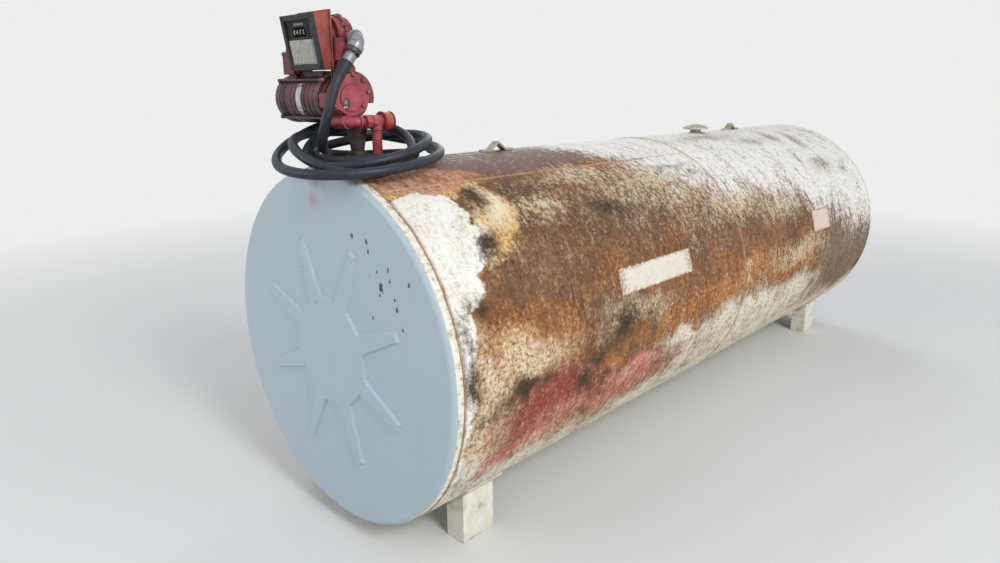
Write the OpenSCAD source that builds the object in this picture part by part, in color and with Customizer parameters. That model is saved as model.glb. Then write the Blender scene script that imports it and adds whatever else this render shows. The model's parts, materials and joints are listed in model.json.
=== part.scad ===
// Horizontal farm fuel storage tank: two rolled courses, flat flanged ends with a pressed star,
// four short folded legs, and an electric transfer pump with meter and hose on its top.
// The tank lies along Y with its front end at -Y. The origin is on the floor, under its middle.

/* [Tank] */
// Outside diameter of the shell
shell_d = 1270; // [1150:10:1400]
// Thickness of the shell plate
shell_t = 3.5; // [3:0.5:6]
// Length of each of the two shell courses
course_l = 1800; // [1500:10:2200]
// Gap between the floor and the lowest point of the shell
floor_gap = 50; // [35:5:150]
// Width of the girth weld
girth_bead_w = 16; // [8:1:24]
// Height of the girth and long seam welds over the plate
bead_h = 2.4; // [1.5:0.1:4]
// Width of the long seam welds
seam_bead_w = 11; // [6:1:16]
// Angle of the long seam above the horizontal on the front course
front_seam_angle = 65; // [40:1:80]
// Angle of the long seam above the horizontal on the rear course
rear_seam_angle = 118; // [100:1:140]

/* [Ends] */
// Thickness of the end plates
head_t = 4.5; // [3.5:0.5:7]
// Outside radius of the bend at the edge of each end
knuckle_r = 22; // [12:1:40]
// Length of the end's flange that shows in front of the shell
flange_show = 42; // [30:1:70]
// Length of the end's flange that is pushed into the shell
flange_lap = 34; // [20:1:60]
// Leg of the fillet weld between shell and flange
lap_weld = 3; // [2:0.5:5]
// Number of rays in the pressed star
rays = 8; // [5:1:12]
// Turn of the first ray from the horizontal
star_turn = 21; // [0:1:44]
// Radius of the star's hub
hub_r = 205; // [150:5:250]
// Radius at the ray tips
ray_r = 410; // [300:5:460]
// Width of a ray at its tip
ray_tip_w = 42; // [20:2:60]
// How far the star stands out of the end
press_h = 9; // [4:1:14]
// Width of the star's sloping edge
press_slope = 9; // [5:1:14]

/* [Legs] */
// Length of a leg along the tank
leg_w = 150; // [100:5:220]
// Thickness of the folded leg plate
leg_t = 6; // [4:0.5:10]
// Depth of a leg's side wings
leg_wing = 85; // [50:5:120]
// Distance of a leg's outer face from the middle plane
leg_x = 412; // [300:2:440]
// Distance of the leg centres from the tank's ends
leg_from_end = 300; // [150:5:500]
// Thickness of the doubler pads
pad_t = 7; // [4:0.5:10]
// How far a pad reaches past its leg at each end
pad_over = 12; // [5:1:30]
// Angle that a pad covers around the shell
pad_angle = 17; // [12:1:24]

/* [Top fittings] */
// Width of the lifting lug straps
lug_w = 32; // [20:1:50]
// Thickness of the lifting lug straps
lug_t = 8; // [5:0.5:12]
// Length of a lifting lug along the tank
lug_l = 150; // [110:5:200]
// Rise of a lifting lug
lug_h = 38; // [28:1:60]
// Length of each foot of a lifting lug
lug_foot = 32; // [20:1:45]
// Distance of the lifting lugs from the tank's ends
lug_from_end = 825; // [500:5:1200]
// Distance of the vent from the rear end
vent_from_end = 1240; // [1000:5:1500]
// Outside diameter of the vent neck
vent_neck_d = 60.3; // [48.3:0.1:88.9]
// Height of the vent neck above the shell
vent_neck_h = 34; // [20:1:80]
// Diameter of the vent cap
vent_cap_d = 138; // [100:1:180]
// Height of the vent cap
vent_cap_h = 26; // [18:1:40]

/* [Pump] */
// Distance of the motor and pump axis from the front end
pump_y = 150; // [130:1:200]
// Height of the motor and pump axis over the shell
axis_h = 210; // [195:1:240]
// Diameter of the pump casing
pump_d = 132; // [120:1:150]
// Length of the pump casing
pump_l = 67; // [60:1:80]
// Thickness of the pump's faceplate
faceplate_t = 9; // [6:0.5:12]
// Diameter of the motor shell
motor_d = 160; // [145:1:176]
// Length of the motor with its end bells
motor_l = 285; // [250:1:320]
// Distance of the pump's support bung from the front end
bung_y = 180; // [170:1:195]
// Distance of the support bung from the middle plane, to the left
bung_x = 34; // [30:1:40]
// Outside diameter of the pump's support bung
bung_d = 84; // [70:1:92]
// Height of the bungs over the shell
bung_h = 24; // [16:1:36]
// Distance of the suction pipe from the middle plane
suction_x = 36; // [32:1:44]
// Distance of the suction pipe from the front end
suction_y = 212; // [208:1:220]
// Height of the suction run over the shell
suction_h = 137; // [130:1:145]
// Outside diameter of the suction pipe
pipe_d = 33.4; // [26.7:0.1:42.2]
// Outside diameter of the nipple between pump and union
nipple_d = 26.7; // [21.3:0.1:30]
// Outside diameter of the strainer drum
strainer_d = 60; // [54:1:66]

/* [Meter] */
// Distance of the meter centre from the middle plane
meter_x = 112; // [105:1:120]
// Height of the meter centre over the outlet manifold
meter_rise = 89; // [86:1:100]
// Diameter of the meter body
meter_d = 160; // [140:1:166]
// Width of the register
register_w = 190; // [170:1:210]
// Height of the register
register_h = 181; // [170:1:190]
// Depth of the register at its top
register_deep = 62; // [56:1:74]
// Depth of the register at its bottom
register_shallow = 34; // [28:1:50]
// Width of the dark bezel around the register's face
bezel_w = 17; // [12:1:24]

/* [Hose] */
// Outside diameter of the hose
hose_d = 32; // [26:1:34]

/* [Hidden] */
$fn = 96;

// Clearance between curved seats, and overlap used only where one piece is built from several solids
seat = 0.3;
fuse = 1;

// Tank
shell_r = shell_d / 2;
axis_z = floor_gap + shell_r;
tank_l = 2 * (course_l + flange_show);
front_y = -tank_l / 2;
top_z = axis_z + shell_r;
flange_r = shell_r - shell_t - seat;
bung_hole_d = 52;
coupling_hole_d = 36;

// Places an upright piece's base on the top line of the shell, at a distance from the front end
module on_top(y, x = 0) {
    translate([x, front_y + y, top_z]) children();
}

// Lays a piece that is drawn around Z along the tank's axis, from y on towards the rear
module along_tank(y) {
    translate([0, y, axis_z]) rotate([-90, 0, 0]) children();
}

// The space inside the shell's outside face, for saddle cuts
module shell_space(extra = 0) {
    reach = 50;
    along_tank(front_y - reach) cylinder(r = shell_r + extra, h = tank_l + 2 * reach, $fn = 240);
}

// Cutter for a round hole through the top of the shell
module shell_hole(y, x, d) {
    on_top(y, x) translate([0, 0, -40]) cylinder(d = d, h = 60);
}

// A neck welded on the shell: saddle foot, spigot through the hole, and a bore
module welded_neck(y, x, outer_d, hole_d, bore_d, height) {
    spigot = 10;
    difference() {
        union() {
            difference() {
                on_top(y, x) translate([0, 0, -spigot]) cylinder(d = outer_d, h = height + spigot);
                shell_space(seat);
            }
            on_top(y, x) translate([0, 0, -spigot]) cylinder(d = hole_d - 2 * seat, h = spigot + 2);
        }
        on_top(y, x) translate([0, 0, -spigot - fuse]) cylinder(d = bore_d, h = height + spigot + 2 * fuse);
    }
}

// One plain rolled course
module course(y) {
    along_tank(y) difference() {
        cylinder(r = shell_r, h = course_l, $fn = 240);
        translate([0, 0, -fuse]) cylinder(r = shell_r - shell_t, h = course_l + 2 * fuse, $fn = 240);
    }
}

module front_course() {
    color("#9a6a4c") difference() {
        course(-course_l);
        shell_hole(bung_y, -bung_x, bung_hole_d);
        shell_hole(suction_y, suction_x, coupling_hole_d);
    }
}

module rear_course() {
    color("#b9a99a") difference() {
        course(0);
        shell_hole(tank_l - vent_from_end, 0, bung_hole_d);
    }
}

// Crown of a weld bead: a flat arc of the given width and height
module bead_crown(width, height) {
    crown_r = (width * width / 4 + height * height) / (2 * height);
    intersection() {
        translate([height - crown_r, 0]) circle(r = crown_r);
        translate([0, -width / 2]) square([height + fuse, width]);
    }
}

module girth_weld() {
    color("#8a7468") along_tank(0) rotate_extrude($fn = 240)
        translate([shell_r + 0.1, 0]) bead_crown(girth_bead_w, bead_h);
}

// A long seam bead of one course, at an angle above the horizontal on the +X side
module seam_bead(y, length, angle) {
    translate([0, y, axis_z]) rotate([0, -angle, 0]) translate([shell_r + 0.1, 0, 0])
        rotate([-90, 0, 0]) linear_extrude(length) bead_crown(seam_bead_w, bead_h);
}

module seam_welds() {
    seam_l = course_l - girth_bead_w / 2 - 4;
    color("#a98f80") {
        seam_bead(-course_l + 4 - seat, seam_l, front_seam_angle);
        seam_bead(girth_bead_w / 2 + seat, seam_l, rear_seam_angle);
    }
}

// Fillet between the shell's edge and the flange of the front end
module lap_fillet() {
    along_tank(-course_l) rotate_extrude($fn = 240)
        polygon([[flange_r + 0.1, -lap_weld], [flange_r + 0.1, -0.1], [flange_r + lap_weld, -0.1]]);
}

module head_welds() {
    color("#8b6a52") {
        lap_fillet();
        mirror([0, 1, 0]) lap_fillet();
    }
}

// Outline of the star: hub corners and ray tips, point by point around the end
function star_ray(k) =
    let(mid = star_turn + k * 360 / rays, root = 90 / rays, tip = asin(ray_tip_w / 2 / ray_r))
    [[hub_r, mid - root], [ray_r, mid - tip], [ray_r, mid + tip], [hub_r, mid + root]];
function star_points() = [for (k = [0:rays - 1]) for (p = star_ray(k)) p[0] * [cos(p[1]), sin(p[1])]];

// Moves each side of an outline inwards by d and returns the new corners
function side_dir(a, b) = (b - a) / norm(b - a);
function inner_corner(a, b, c, d) =
    let(u = side_dir(a, b), v = side_dir(b, c), s = u[0] * v[1] - u[1] * v[0])
    b + d * (v - u) / s;
function inset(points, d) =
    let(n = len(points))
    [for (i = [0:n - 1]) inner_corner(points[(i + n - 1) % n], points[i], points[(i + 1) % n], d)];

// The pressed star as a solid with sloping sides, from z = foot up to z = -press_h
module pressed_star(foot, rise) {
    base = star_points();
    top = inset(base, press_slope);
    n = len(base);
    points = concat(
        [for (p = base) [p[0], p[1], foot]],
        [for (p = top) [p[0], p[1], -rise]],
        [[0, 0, foot], [0, 0, -rise]]);
    sides = [for (i = [0:n - 1]) each [[i, (i + 1) % n, n + i], [(i + 1) % n, n + (i + 1) % n, n + i]]];
    caps = [for (i = [0:n - 1]) each [[(i + 1) % n, i, 2 * n], [n + i, n + (i + 1) % n, 2 * n + 1]]];
    polyhedron(points, concat(sides, caps));
}

// Half section of the flat end: plate, bend and flange, with z = 0 on the outer face
module head_section() {
    square([flange_r - knuckle_r, head_t]);
    intersection() {
        translate([flange_r - knuckle_r, knuckle_r]) difference() {
            circle(r = knuckle_r);
            circle(r = knuckle_r - head_t);
        }
        translate([flange_r - knuckle_r, 0]) square([knuckle_r, knuckle_r]);
    }
    translate([flange_r - head_t, knuckle_r]) square([head_t, flange_show + flange_lap - knuckle_r]);
}

// A flanged end with its star, its outer face at the tank's front
module flanged_end() {
    along_tank(front_y) difference() {
        union() {
            rotate_extrude($fn = 240) head_section();
            mirror([0, 1, 0]) pressed_star(head_t / 2, press_h);
        }
        translate([0, 0, head_t]) mirror([0, 1, 0]) pressed_star(head_t, press_h);
    }
}

module front_head() {
    color("#a9b4bd") flanged_end();
}

module rear_head() {
    color("#a9b4bd") mirror([0, 1, 0]) flanged_end();
}

// Angle of a leg's middle below the horizontal, where its pad is centred
pad_mid = acos((leg_x - leg_wing / 2) / (shell_r + pad_t)) - 1;
leg_y = front_y + leg_from_end;

// Doubler pad of the front right leg
module leg_pad() {
    pad_l = leg_w + 2 * pad_over;
    translate([0, leg_y - pad_l / 2, 0]) along_tank(0) rotate([0, 0, pad_mid - pad_angle / 2])
        rotate_extrude(angle = pad_angle, $fn = 240) translate([shell_r + seat, 0]) square([pad_t, pad_l]);
}

module leg_pads() {
    color("#e3ded2") for (sx = [0, 1]) for (sy = [0, 1])
        mirror([sx, 0, 0]) mirror([0, sy, 0]) leg_pad();
}

// Folded leg: outer plate and two wings, cut along the pad
module leg() {
    difference() {
        translate([leg_x, leg_y, 0]) {
            translate([-leg_t, -leg_w / 2, 0]) cube([leg_t, leg_w, axis_z]);
            for (side = [-1, 1])
                translate([-leg_wing, side * (leg_w - leg_t) / 2 - leg_t / 2, 0]) cube([leg_wing, leg_t, axis_z]);
        }
        shell_space(pad_t + 2 * seat);
    }
}

module leg_front_right() {
    color("#e8e4d8") leg();
}

module leg_front_left() {
    color("#e8e4d8") mirror([1, 0, 0]) leg();
}

module leg_rear_right() {
    color("#e8e4d8") mirror([0, 1, 0]) leg();
}

module leg_rear_left() {
    color("#e8e4d8") mirror([1, 0, 0]) mirror([0, 1, 0]) leg();
}

// Side outline of a lifting lug: a flat strap bent to a low roof with two feet
module lug_outline() {
    half = lug_l / 2;
    run = half - lug_foot;
    slope = atan((lug_h - lug_t) / run);
    shift = lug_t * tan(slope / 2);
    crown = lug_t * sin(slope);
    polygon([
        [-half, 0], [-half + lug_foot + shift, 0], [-crown / 2, lug_h - lug_t], [crown / 2, lug_h - lug_t],
        [half - lug_foot - shift, 0], [half, 0], [half, lug_t], [half - lug_foot, lug_t],
        [crown / 2, lug_h], [-crown / 2, lug_h], [-half + lug_foot, lug_t], [-half, lug_t]
    ]);
}

// The strap with rounded foot ends
module lifting_lug() {
    translate([-lug_w / 2, 0, seat]) rotate([90, 0, 90]) linear_extrude(lug_w) lug_outline();
    for (end = [-1, 1]) translate([0, end * lug_l / 2, seat]) cylinder(d = lug_w, h = lug_t);
}

module lug_front() {
    color("#b08a72") on_top(lug_from_end) lifting_lug();
}

module lug_rear() {
    color("#d2ccc2") on_top(tank_l - lug_from_end) lifting_lug();
}

// Vent: a pipe neck that passes through the shell, and a mushroom cap over it
module vent_neck() {
    color("#c9c4ba")
        welded_neck(tank_l - vent_from_end, 0, vent_neck_d, bung_hole_d, vent_neck_d - 14, vent_neck_h);
}

module vent_cap() {
    rim_h = 9;
    lip = 3;
    dome_r = (pow(vent_cap_d / 2, 2) + pow(vent_cap_h - rim_h, 2)) / (2 * (vent_cap_h - rim_h));
    color("#d8d4cb") on_top(tank_l - vent_from_end) translate([0, 0, vent_neck_h - 14]) difference() {
        union() {
            cylinder(d = vent_cap_d, h = rim_h);
            intersection() {
                translate([0, 0, vent_cap_h - dome_r]) sphere(r = dome_r, $fn = 160);
                cylinder(d = vent_cap_d, h = vent_cap_h);
            }
        }
        translate([0, 0, -fuse]) cylinder(d = vent_cap_d - 2 * lip, h = rim_h - lip + fuse);
        translate([0, 0, -fuse]) cylinder(d = vent_neck_d + 2 * seat, h = 14 + seat + fuse);
    }
}

module pump_bung() {
    color("#7c6a60") welded_neck(bung_y, -bung_x, bung_d, bung_hole_d, 38, bung_h);
}

module suction_coupling() {
    color("#8a5a50") welded_neck(suction_y, suction_x, 46, coupling_hole_d, pipe_d - 7, bung_h);
}

// Suction riser from the coupling to the tee
tee_r = 22;
tee_l = 44;
tee_ring_t = 4;

module suction_pipe() {
    color("#a8443a") on_top(suction_y, suction_x) translate([0, 0, bung_h]) difference() {
        cylinder(d = pipe_d, h = suction_h - tee_r - bung_h - 6);
        translate([0, 0, -fuse]) cylinder(d = pipe_d - 7, h = suction_h);
    }
}

// Lays a piece drawn around Z along Y at the height of the suction run
module suction_run(y) {
    on_top(y, suction_x) translate([0, 0, suction_h]) rotate([-90, 0, 0]) children();
}

module suction_tee() {
    color("#a83a32") {
        suction_run(suction_y - tee_l / 2) cylinder(r = tee_r, h = tee_l);
        suction_run(suction_y + tee_l / 2 - tee_ring_t) cylinder(d = strainer_d + 6, h = tee_ring_t);
        on_top(suction_y, suction_x) translate([0, 0, suction_h - tee_r - 6]) cylinder(d = pipe_d + 9, h = tee_r + 6);
    }
}

strainer_y = suction_y + tee_l / 2;
strainer_l = 32;

module strainer_drum() {
    color("#d2553a") suction_run(strainer_y) {
        cylinder(d = strainer_d, h = strainer_l);
        translate([0, 0, 4]) cylinder(d = strainer_d + 2, h = 5);
    }
}

module strainer_cap() {
    color("#6b6058") suction_run(strainer_y + strainer_l) {
        cylinder(d = strainer_d + 4, h = 4);
        translate([0, 0, 4 - fuse]) cylinder(d1 = strainer_d - 8, d2 = strainer_d - 20, h = 4 + fuse);
        translate([0, 0, 7]) cylinder(d = 24, h = 8, $fn = 6);
    }
}

union_l = 26;
elbow_y = pump_y - 32;
elbow_bend = 30;

module suction_union() {
    color("#b5473c") suction_run(suction_y - tee_l / 2 - union_l) {
        cylinder(d = 46, h = union_l - 8, $fn = 8);
        translate([0, 0, union_l - 8 - fuse]) cylinder(d = 40, h = 8 + fuse);
    }
}

module suction_nipple() {
    color("#c45f58") suction_run(elbow_y + elbow_bend)
        cylinder(d = nipple_d, h = suction_y - tee_l / 2 - union_l - elbow_y - elbow_bend);
}

// Elbow that turns from the pump's inlet into the run towards the tee
module suction_elbow() {
    body_r = 18;
    bead_r = 22;
    color("#c9626a") on_top(elbow_y, suction_x) translate([0, 0, suction_h]) {
        translate([-elbow_bend, elbow_bend, 0]) rotate([0, 0, -90])
            rotate_extrude(angle = 90) translate([elbow_bend, 0]) circle(r = body_r);
        translate([-elbow_bend, 0, 0]) rotate([0, -90, 0]) cylinder(r = bead_r, h = suction_x - elbow_bend - seat);
        translate([0, elbow_bend, 0]) rotate([90, 0, 0]) cylinder(r = bead_r, h = 9);
        translate([-elbow_bend, 0, 0]) rotate([0, 90, 0]) cylinder(r = bead_r, h = 9);
    }
}

// Tapered stand between the bung and the pump's foot
foot_z = axis_h - pump_d / 2 - 14;

module pump_pedestal() {
    color("#4a403c") on_top(bung_y, -bung_x) translate([0, 0, bung_h]) {
        cylinder(d = 66, h = 14, $fn = 8);
        translate([0, 0, 14 - fuse]) cylinder(d1 = 44, d2 = 74, h = foot_z - bung_h - 14 - 8 + fuse);
        translate([0, 0, foot_z - bung_h - 8 - fuse]) cylinder(d = 86, h = 8 + fuse);
    }
}

// Flat casting outline: a disc with round bolt ears on its edge
module eared_disc(d, ear_d, reach, count, turn, h) {
    linear_extrude(h) union() {
        circle(d = d);
        for (k = [0:count - 1]) rotate(turn + 360 * k / count) translate([reach, 0]) circle(d = ear_d);
    }
}

// Lays a piece drawn around Z along X, starting at x and running towards +X on the pump's axis
module on_axis(x) {
    on_top(pump_y, x) translate([0, 0, axis_h]) rotate([0, 90, 0]) children();
}

// Extrudes a profile towards +X from x on; the profile's X is along the tank and its Y is up, from the pump's axis
module side_profile(x, length) {
    on_top(pump_y, x) translate([0, 0, axis_h]) rotate([90, 0, 90]) linear_extrude(length) children();
}

// Rectangle with round corners, from its lowest corner
module round_plate(low, size, r) {
    translate(low) union() {
        translate([r, 0]) square([size[0] - 2 * r, size[1]]);
        translate([0, r]) square([size[0], size[1] - 2 * r]);
        for (u = [r, size[0] - r]) for (v = [r, size[1] - r]) translate([u, v]) circle(r = r);
    }
}

// Cast pump casing: drum with a lobe towards the front, rear flange, foot and inlet boss
casing_x = -faceplate_t - pump_l;
lobe_low = [-82, -32];
lobe_size = [140, 54];
flange_t = 9;

module pump_body() {
    color("#a13a44") {
        side_profile(casing_x, pump_l) {
            circle(d = pump_d);
            round_plate(lobe_low, lobe_size, 12);
        }
        on_axis(casing_x) cylinder(d = pump_d + 14, h = flange_t);
        on_top(bung_y, casing_x / 2 - 30) translate([0, -46, foot_z]) cube([60, 88, 20]);
        on_top(elbow_y, casing_x + 10) translate([0, 0, suction_h]) rotate([0, 90, 0])
            cylinder(r = 23, h = -casing_x - 10);
    }
}

// Faceplate: an arch with a flat bottom, bolt ears, a raised ring and the sight plug's long pocket
arch_mid = [-4, 14];
arch_r = 68;
sight_mid = [-30, -9];

module pump_faceplate() {
    sight_d = 26;
    slot_w = 20;
    slot_l = 20;
    plate_l = faceplate_t - seat;
    color("#cf5f6b") difference() {
        union() {
            side_profile(-plate_l, plate_l) {
                translate(arch_mid) circle(r = arch_r);
                round_plate(lobe_low, [lobe_size[0] - 8, lobe_size[1]], 12);
                for (k = [0:4]) translate(arch_mid) rotate(8 + 38 * k) translate([arch_r - 3, 0]) circle(d = 19);
            }
            side_profile(-fuse, 4 + fuse) translate([-8, 4]) circle(d = pump_d - 48);
        }
        side_profile(-fuse, 8) {
            translate(sight_mid) circle(d = sight_d);
            translate(sight_mid) translate([-slot_w / 2, -slot_l]) square([slot_w, slot_l]);
        }
    }
}

// Top of the outlet manifold over the pump's axis
manifold_top = 102;

// Side outline of the manifold: a block on top and a bend down over the rear of the casing
module manifold_outline(proud) {
    bend_mid = [8, 8];
    difference() {
        union() {
            intersection() {
                translate(bend_mid) circle(r = 78 + proud);
                translate([0, -14]) square([100, 120]);
            }
            translate([-32 - proud, 40]) square([54 + proud, manifold_top - 40 - (proud > 0 ? 4 : 0)]);
        }
        circle(d = pump_d + 2 * seat);
    }
}

// Ribbed outlet manifold seated on the casing
module outlet_manifold() {
    ribs = 5;
    rib_t = 5;
    rib_x = casing_x + flange_t + seat;
    width = -casing_x - flange_t - faceplate_t - 2 * seat;
    step = (width - rib_t) / (ribs - 1);
    color("#a97f78") {
        side_profile(rib_x, width) manifold_outline(0);
        for (k = [0:ribs - 1]) side_profile(rib_x + k * step, rib_t) manifold_outline(4);
        on_top(neck_y, neck_x) translate([0, 0, axis_h + manifold_top - 16]) cylinder(d = 50, h = 16);
    }
}

// Round adapter between the pump casing and the motor
adapter_l = 14;
bell_l = 46;

module motor_adapter() {
    color("#5d2f38") on_axis(casing_x - adapter_l) {
        eared_disc(motor_d + 8, 20, motor_d / 2 + 4, 4, 45, adapter_l - 5);
        translate([0, 0, adapter_l - 5 - fuse]) cylinder(d = pump_d + 6, h = 5 + fuse);
    }
}

motor_x = casing_x - adapter_l - motor_l;

// Motor shell with raised bands
module motor_shell() {
    shell_l = motor_l - bell_l;
    color("#4c2a3a") on_axis(motor_x + bell_l) {
        cylinder(d = motor_d, h = shell_l);
        for (x = [4, shell_l - 14]) translate([0, 0, x]) cylinder(d = motor_d + 4, h = 10);
    }
}

// End bell: short barrel with a domed end and a hub
module motor_end_bell() {
    dome = 18;
    color("#5b3040") on_axis(motor_x) {
        translate([0, 0, dome]) cylinder(d = motor_d + 6, h = bell_l - dome);
        cylinder(d1 = motor_d - 44, d2 = motor_d + 6, h = dome);
        translate([0, 0, -6]) cylinder(d = 48, h = 8);
        translate([0, 0, dome + 2]) eared_disc(motor_d + 4, 18, motor_d / 2 + 4, 4, 45, 14);
    }
}

module motor_tie_rods() {
    rod_d = 8;
    color("#6d4a50") on_axis(motor_x + 34 + seat) for (k = [0:3]) rotate([0, 0, 45 + 90 * k])
        translate([motor_d / 2 + 8, 0, 0]) cylinder(d = rod_d, h = motor_l - 34 - 2 * seat);
}

// Bare metal plate bent round the front of the motor
module motor_nameplate() {
    plate_w = 30;
    plate_angle = 78;
    color("#b9bcc0") on_axis(motor_x + bell_l + 105) rotate([0, 0, -90 - plate_angle / 2])
        rotate_extrude(angle = plate_angle) translate([motor_d / 2 + seat, 0]) square([1.2, plate_w]);
}

// Upright box with rounded corners, drawn from its middle
module round_box(w, d, h, r) {
    linear_extrude(h) union() {
        square([w - 2 * r, d], center = true);
        square([w, d - 2 * r], center = true);
        for (sx = [-1, 1]) for (sy = [-1, 1]) translate([sx * (w / 2 - r), sy * (d / 2 - r)]) circle(r = r);
    }
}

// Switch box on a saddle over the motor's far end
module switch_box() {
    box_h = 72;
    base = axis_h + motor_d / 2 + 2;
    color("#7a2a2c") difference() {
        on_top(pump_y - 22, motor_x + bell_l + 36) {
            translate([0, 0, base - 26]) round_box(52, 50, 30, 6);
            translate([0, 0, base]) round_box(70, 80, box_h - 8, 8);
            translate([0, 0, base + box_h - 8 - fuse]) round_box(74, 84, 8 + fuse, 8);
        }
        on_axis(motor_x - 10) cylinder(d = motor_d + 2 * seat, h = motor_l);
    }
}

// Neck from the manifold to the meter
neck_y = pump_y - 7;
neck_x = -46;
neck_d = 40;
neck_z = axis_h + manifold_top;
meter_h = neck_z + meter_rise;
meter_t = 72;
meter_y = pump_y - 14;
meter_low = meter_h - meter_d / 2;

module meter_neck() {
    color("#8c3038") on_top(neck_y, neck_x) translate([0, 0, neck_z]) {
        cylinder(d = 50, h = 6);
        translate([0, 0, 6 - fuse]) cylinder(d = neck_d, h = meter_low + 40 - neck_z);
    }
}

// Lays a piece drawn around Z along Y on the meter's axis, from y on towards the rear
module on_meter(y) {
    on_top(y, -meter_x) translate([0, 0, meter_h]) rotate([-90, 0, 0]) children();
}

// Places a piece at the meter's outlet boss, x away from the meter's axis
module at_outlet(x) {
    on_top(meter_y + 34, x - meter_x) translate([0, 0, meter_h]) children();
}

// Disc meter body: drum with a bolted joint round its middle, a hub for the register and an outlet boss
outlet_x = 106;

module meter_body() {
    color("#b5443f") difference() {
        union() {
            on_meter(meter_y) cylinder(d = meter_d - 10, h = meter_t - 14);
            on_meter(meter_y + 26) eared_disc(meter_d, 17, meter_d / 2 - 3, 10, 0, 12);
            on_meter(register_y + seat) cylinder(d = 110, h = meter_y - register_y);
            at_outlet(0) rotate([0, 90, 0]) cylinder(d = 46, h = outlet_x);
            on_top(neck_y, neck_x) translate([0, 0, meter_low + 12]) cylinder(d = 52, h = 70);
        }
        on_top(neck_y, neck_x) cylinder(d = neck_d + 2 * seat, h = meter_low + 45 + seat);
    }
}

// Rear cover of the meter with a hub and ribs
module meter_cover() {
    color("#a63c3a") on_meter(meter_y + meter_t - 14) {
        cylinder(d1 = meter_d - 18, d2 = meter_d - 60, h = 14);
        cylinder(d = 46, h = 20);
        for (k = [0:5]) rotate([0, 0, 60 * k]) translate([0, -3, 0]) cube([meter_d / 2 - 12, 6, 9]);
    }
}

// Register: a wedge whose face leans over so that it is read from below
register_x = -meter_x - 31;
register_y = pump_y - 36 - seat;
register_z = axis_h + motor_d / 2 + 16;
register_fall = 10;
face_rise = register_h - register_fall;
face_tilt = atan((register_deep - register_shallow) / face_rise);
face_h = face_rise / cos(face_tilt);
plate_t = 5;

// Side outline of the wedge between the back plate and the bezel
module wedge_outline() {
    polygon([
        [-plate_t, 0], [-register_shallow, 0], [-register_deep, face_rise], [-plate_t, register_h]
    ]);
}

module register_housing() {
    color("#b4483e") difference() {
        on_top(register_y, register_x) translate([0, 0, register_z]) {
            translate([-register_w / 2 + 3, 0, 0]) rotate([90, 0, 90])
                linear_extrude(register_w - 6) wedge_outline();
            translate([-register_w / 2 - 3, -plate_t, -2]) cube([register_w + 6, plate_t, register_h + 5]);
        }
        counter_pocket();
    }
}

// Middle of the counter wheels up the face, and the cutter for their pocket
wheel_y = 0.68;
counter_w = 72;

module counter_pocket() {
    on_face() translate([-counter_w / 2 - 3, face_h * wheel_y - 16, -20]) cube([counter_w + 6, 32, 21]);
}

// Places a piece on the leaning face: X across, Y up the face, Z towards the reader
module on_face() {
    on_top(register_y - register_shallow, register_x) translate([0, 0, register_z])
        rotate([90 + face_tilt, 0, 0]) children();
}

bezel_t = 12;

module register_bezel() {
    window_w = register_w - 2 * bezel_w;
    color("#2b2c2e") on_face() translate([0, 0, seat]) difference() {
        translate([-register_w / 2, 0, 0]) cube([register_w, face_h, bezel_t]);
        translate([-window_w / 2, bezel_w, -fuse]) cube([window_w, face_h - 2 * bezel_w, bezel_t + 2 * fuse]);
    }
}

// Dial plate with four counter wheels and the bare placard under them
module register_dial() {
    window_w = register_w - 2 * bezel_w - 2 * seat;
    wheel_w = 13;
    counter_y = face_h * wheel_y;
    placard_h = face_h * 0.4;
    color("#b9b6aa") on_face() translate([0, 0, seat]) {
        difference() {
            translate([-window_w / 2, bezel_w + seat, 0]) cube([window_w, face_h - 2 * bezel_w - 2 * seat, 5]);
            translate([-counter_w / 2, counter_y - 14, -fuse]) cube([counter_w, 28, 5 + 2 * fuse]);
        }
        for (k = [0:3]) translate([-33.5 + 18 * k, counter_y, -4]) rotate([0, 90, 0]) cylinder(d = 26, h = wheel_w);
        translate([-counter_w / 2 - 2, counter_y - 2, -3]) cube([counter_w + 4, 4, 4]);
        translate([-window_w / 2 + 16, bezel_w + 6, 5 - fuse]) cube([window_w - 32, placard_h, 2 + fuse]);
    }
}

// Outlet elbow: out of the meter along +X, then down and forward to the hose
elbow_r = 34;
elbow_out_l = 10;
hose_lean = 36;

module on_outlet() {
    at_outlet(outlet_x) rotate([-hose_lean, 0, 0]) children();
}

module outlet_elbow() {
    bead_d = 54;
    color("#c6c9c8") on_outlet() {
        translate([0, 0, -elbow_r]) rotate([90, 0, 0]) rotate_extrude(angle = 90) translate([elbow_r, 0])
            circle(r = 23);
        translate([seat, 0, 0]) rotate([0, 90, 0]) cylinder(d = bead_d, h = 14);
        translate([elbow_r, 0, -elbow_r - elbow_out_l]) cylinder(d = bead_d, h = elbow_out_l + 6);
    }
}

// Swivel: a round collar and a hexagon under it
swivel_l = 22;

module hose_swivel() {
    hex_l = 8;
    color("#3d3f42") on_outlet() translate([elbow_r, 0, -elbow_r - elbow_out_l - seat]) {
        translate([0, 0, hex_l - swivel_l]) cylinder(d = 50, h = swivel_l - hex_l);
        translate([0, 0, -swivel_l]) cylinder(d = 42, h = hex_l + fuse, $fn = 6);
    }
}

// Length from the elbow's turn to the hose's first point, along the leaning outlet
ferrule_l = 26;
hose_start = elbow_r + elbow_out_l + swivel_l + 2 * seat;

module hose_ferrule() {
    color("#9aa0a4") on_outlet() translate([elbow_r, 0, -hose_start - ferrule_l]) difference() {
        cylinder(d = hose_d + 7, h = ferrule_l);
        translate([0, 0, -fuse]) cylinder(d = hose_d + 2 * seat, h = ferrule_l + 2 * fuse);
    }
}

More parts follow.
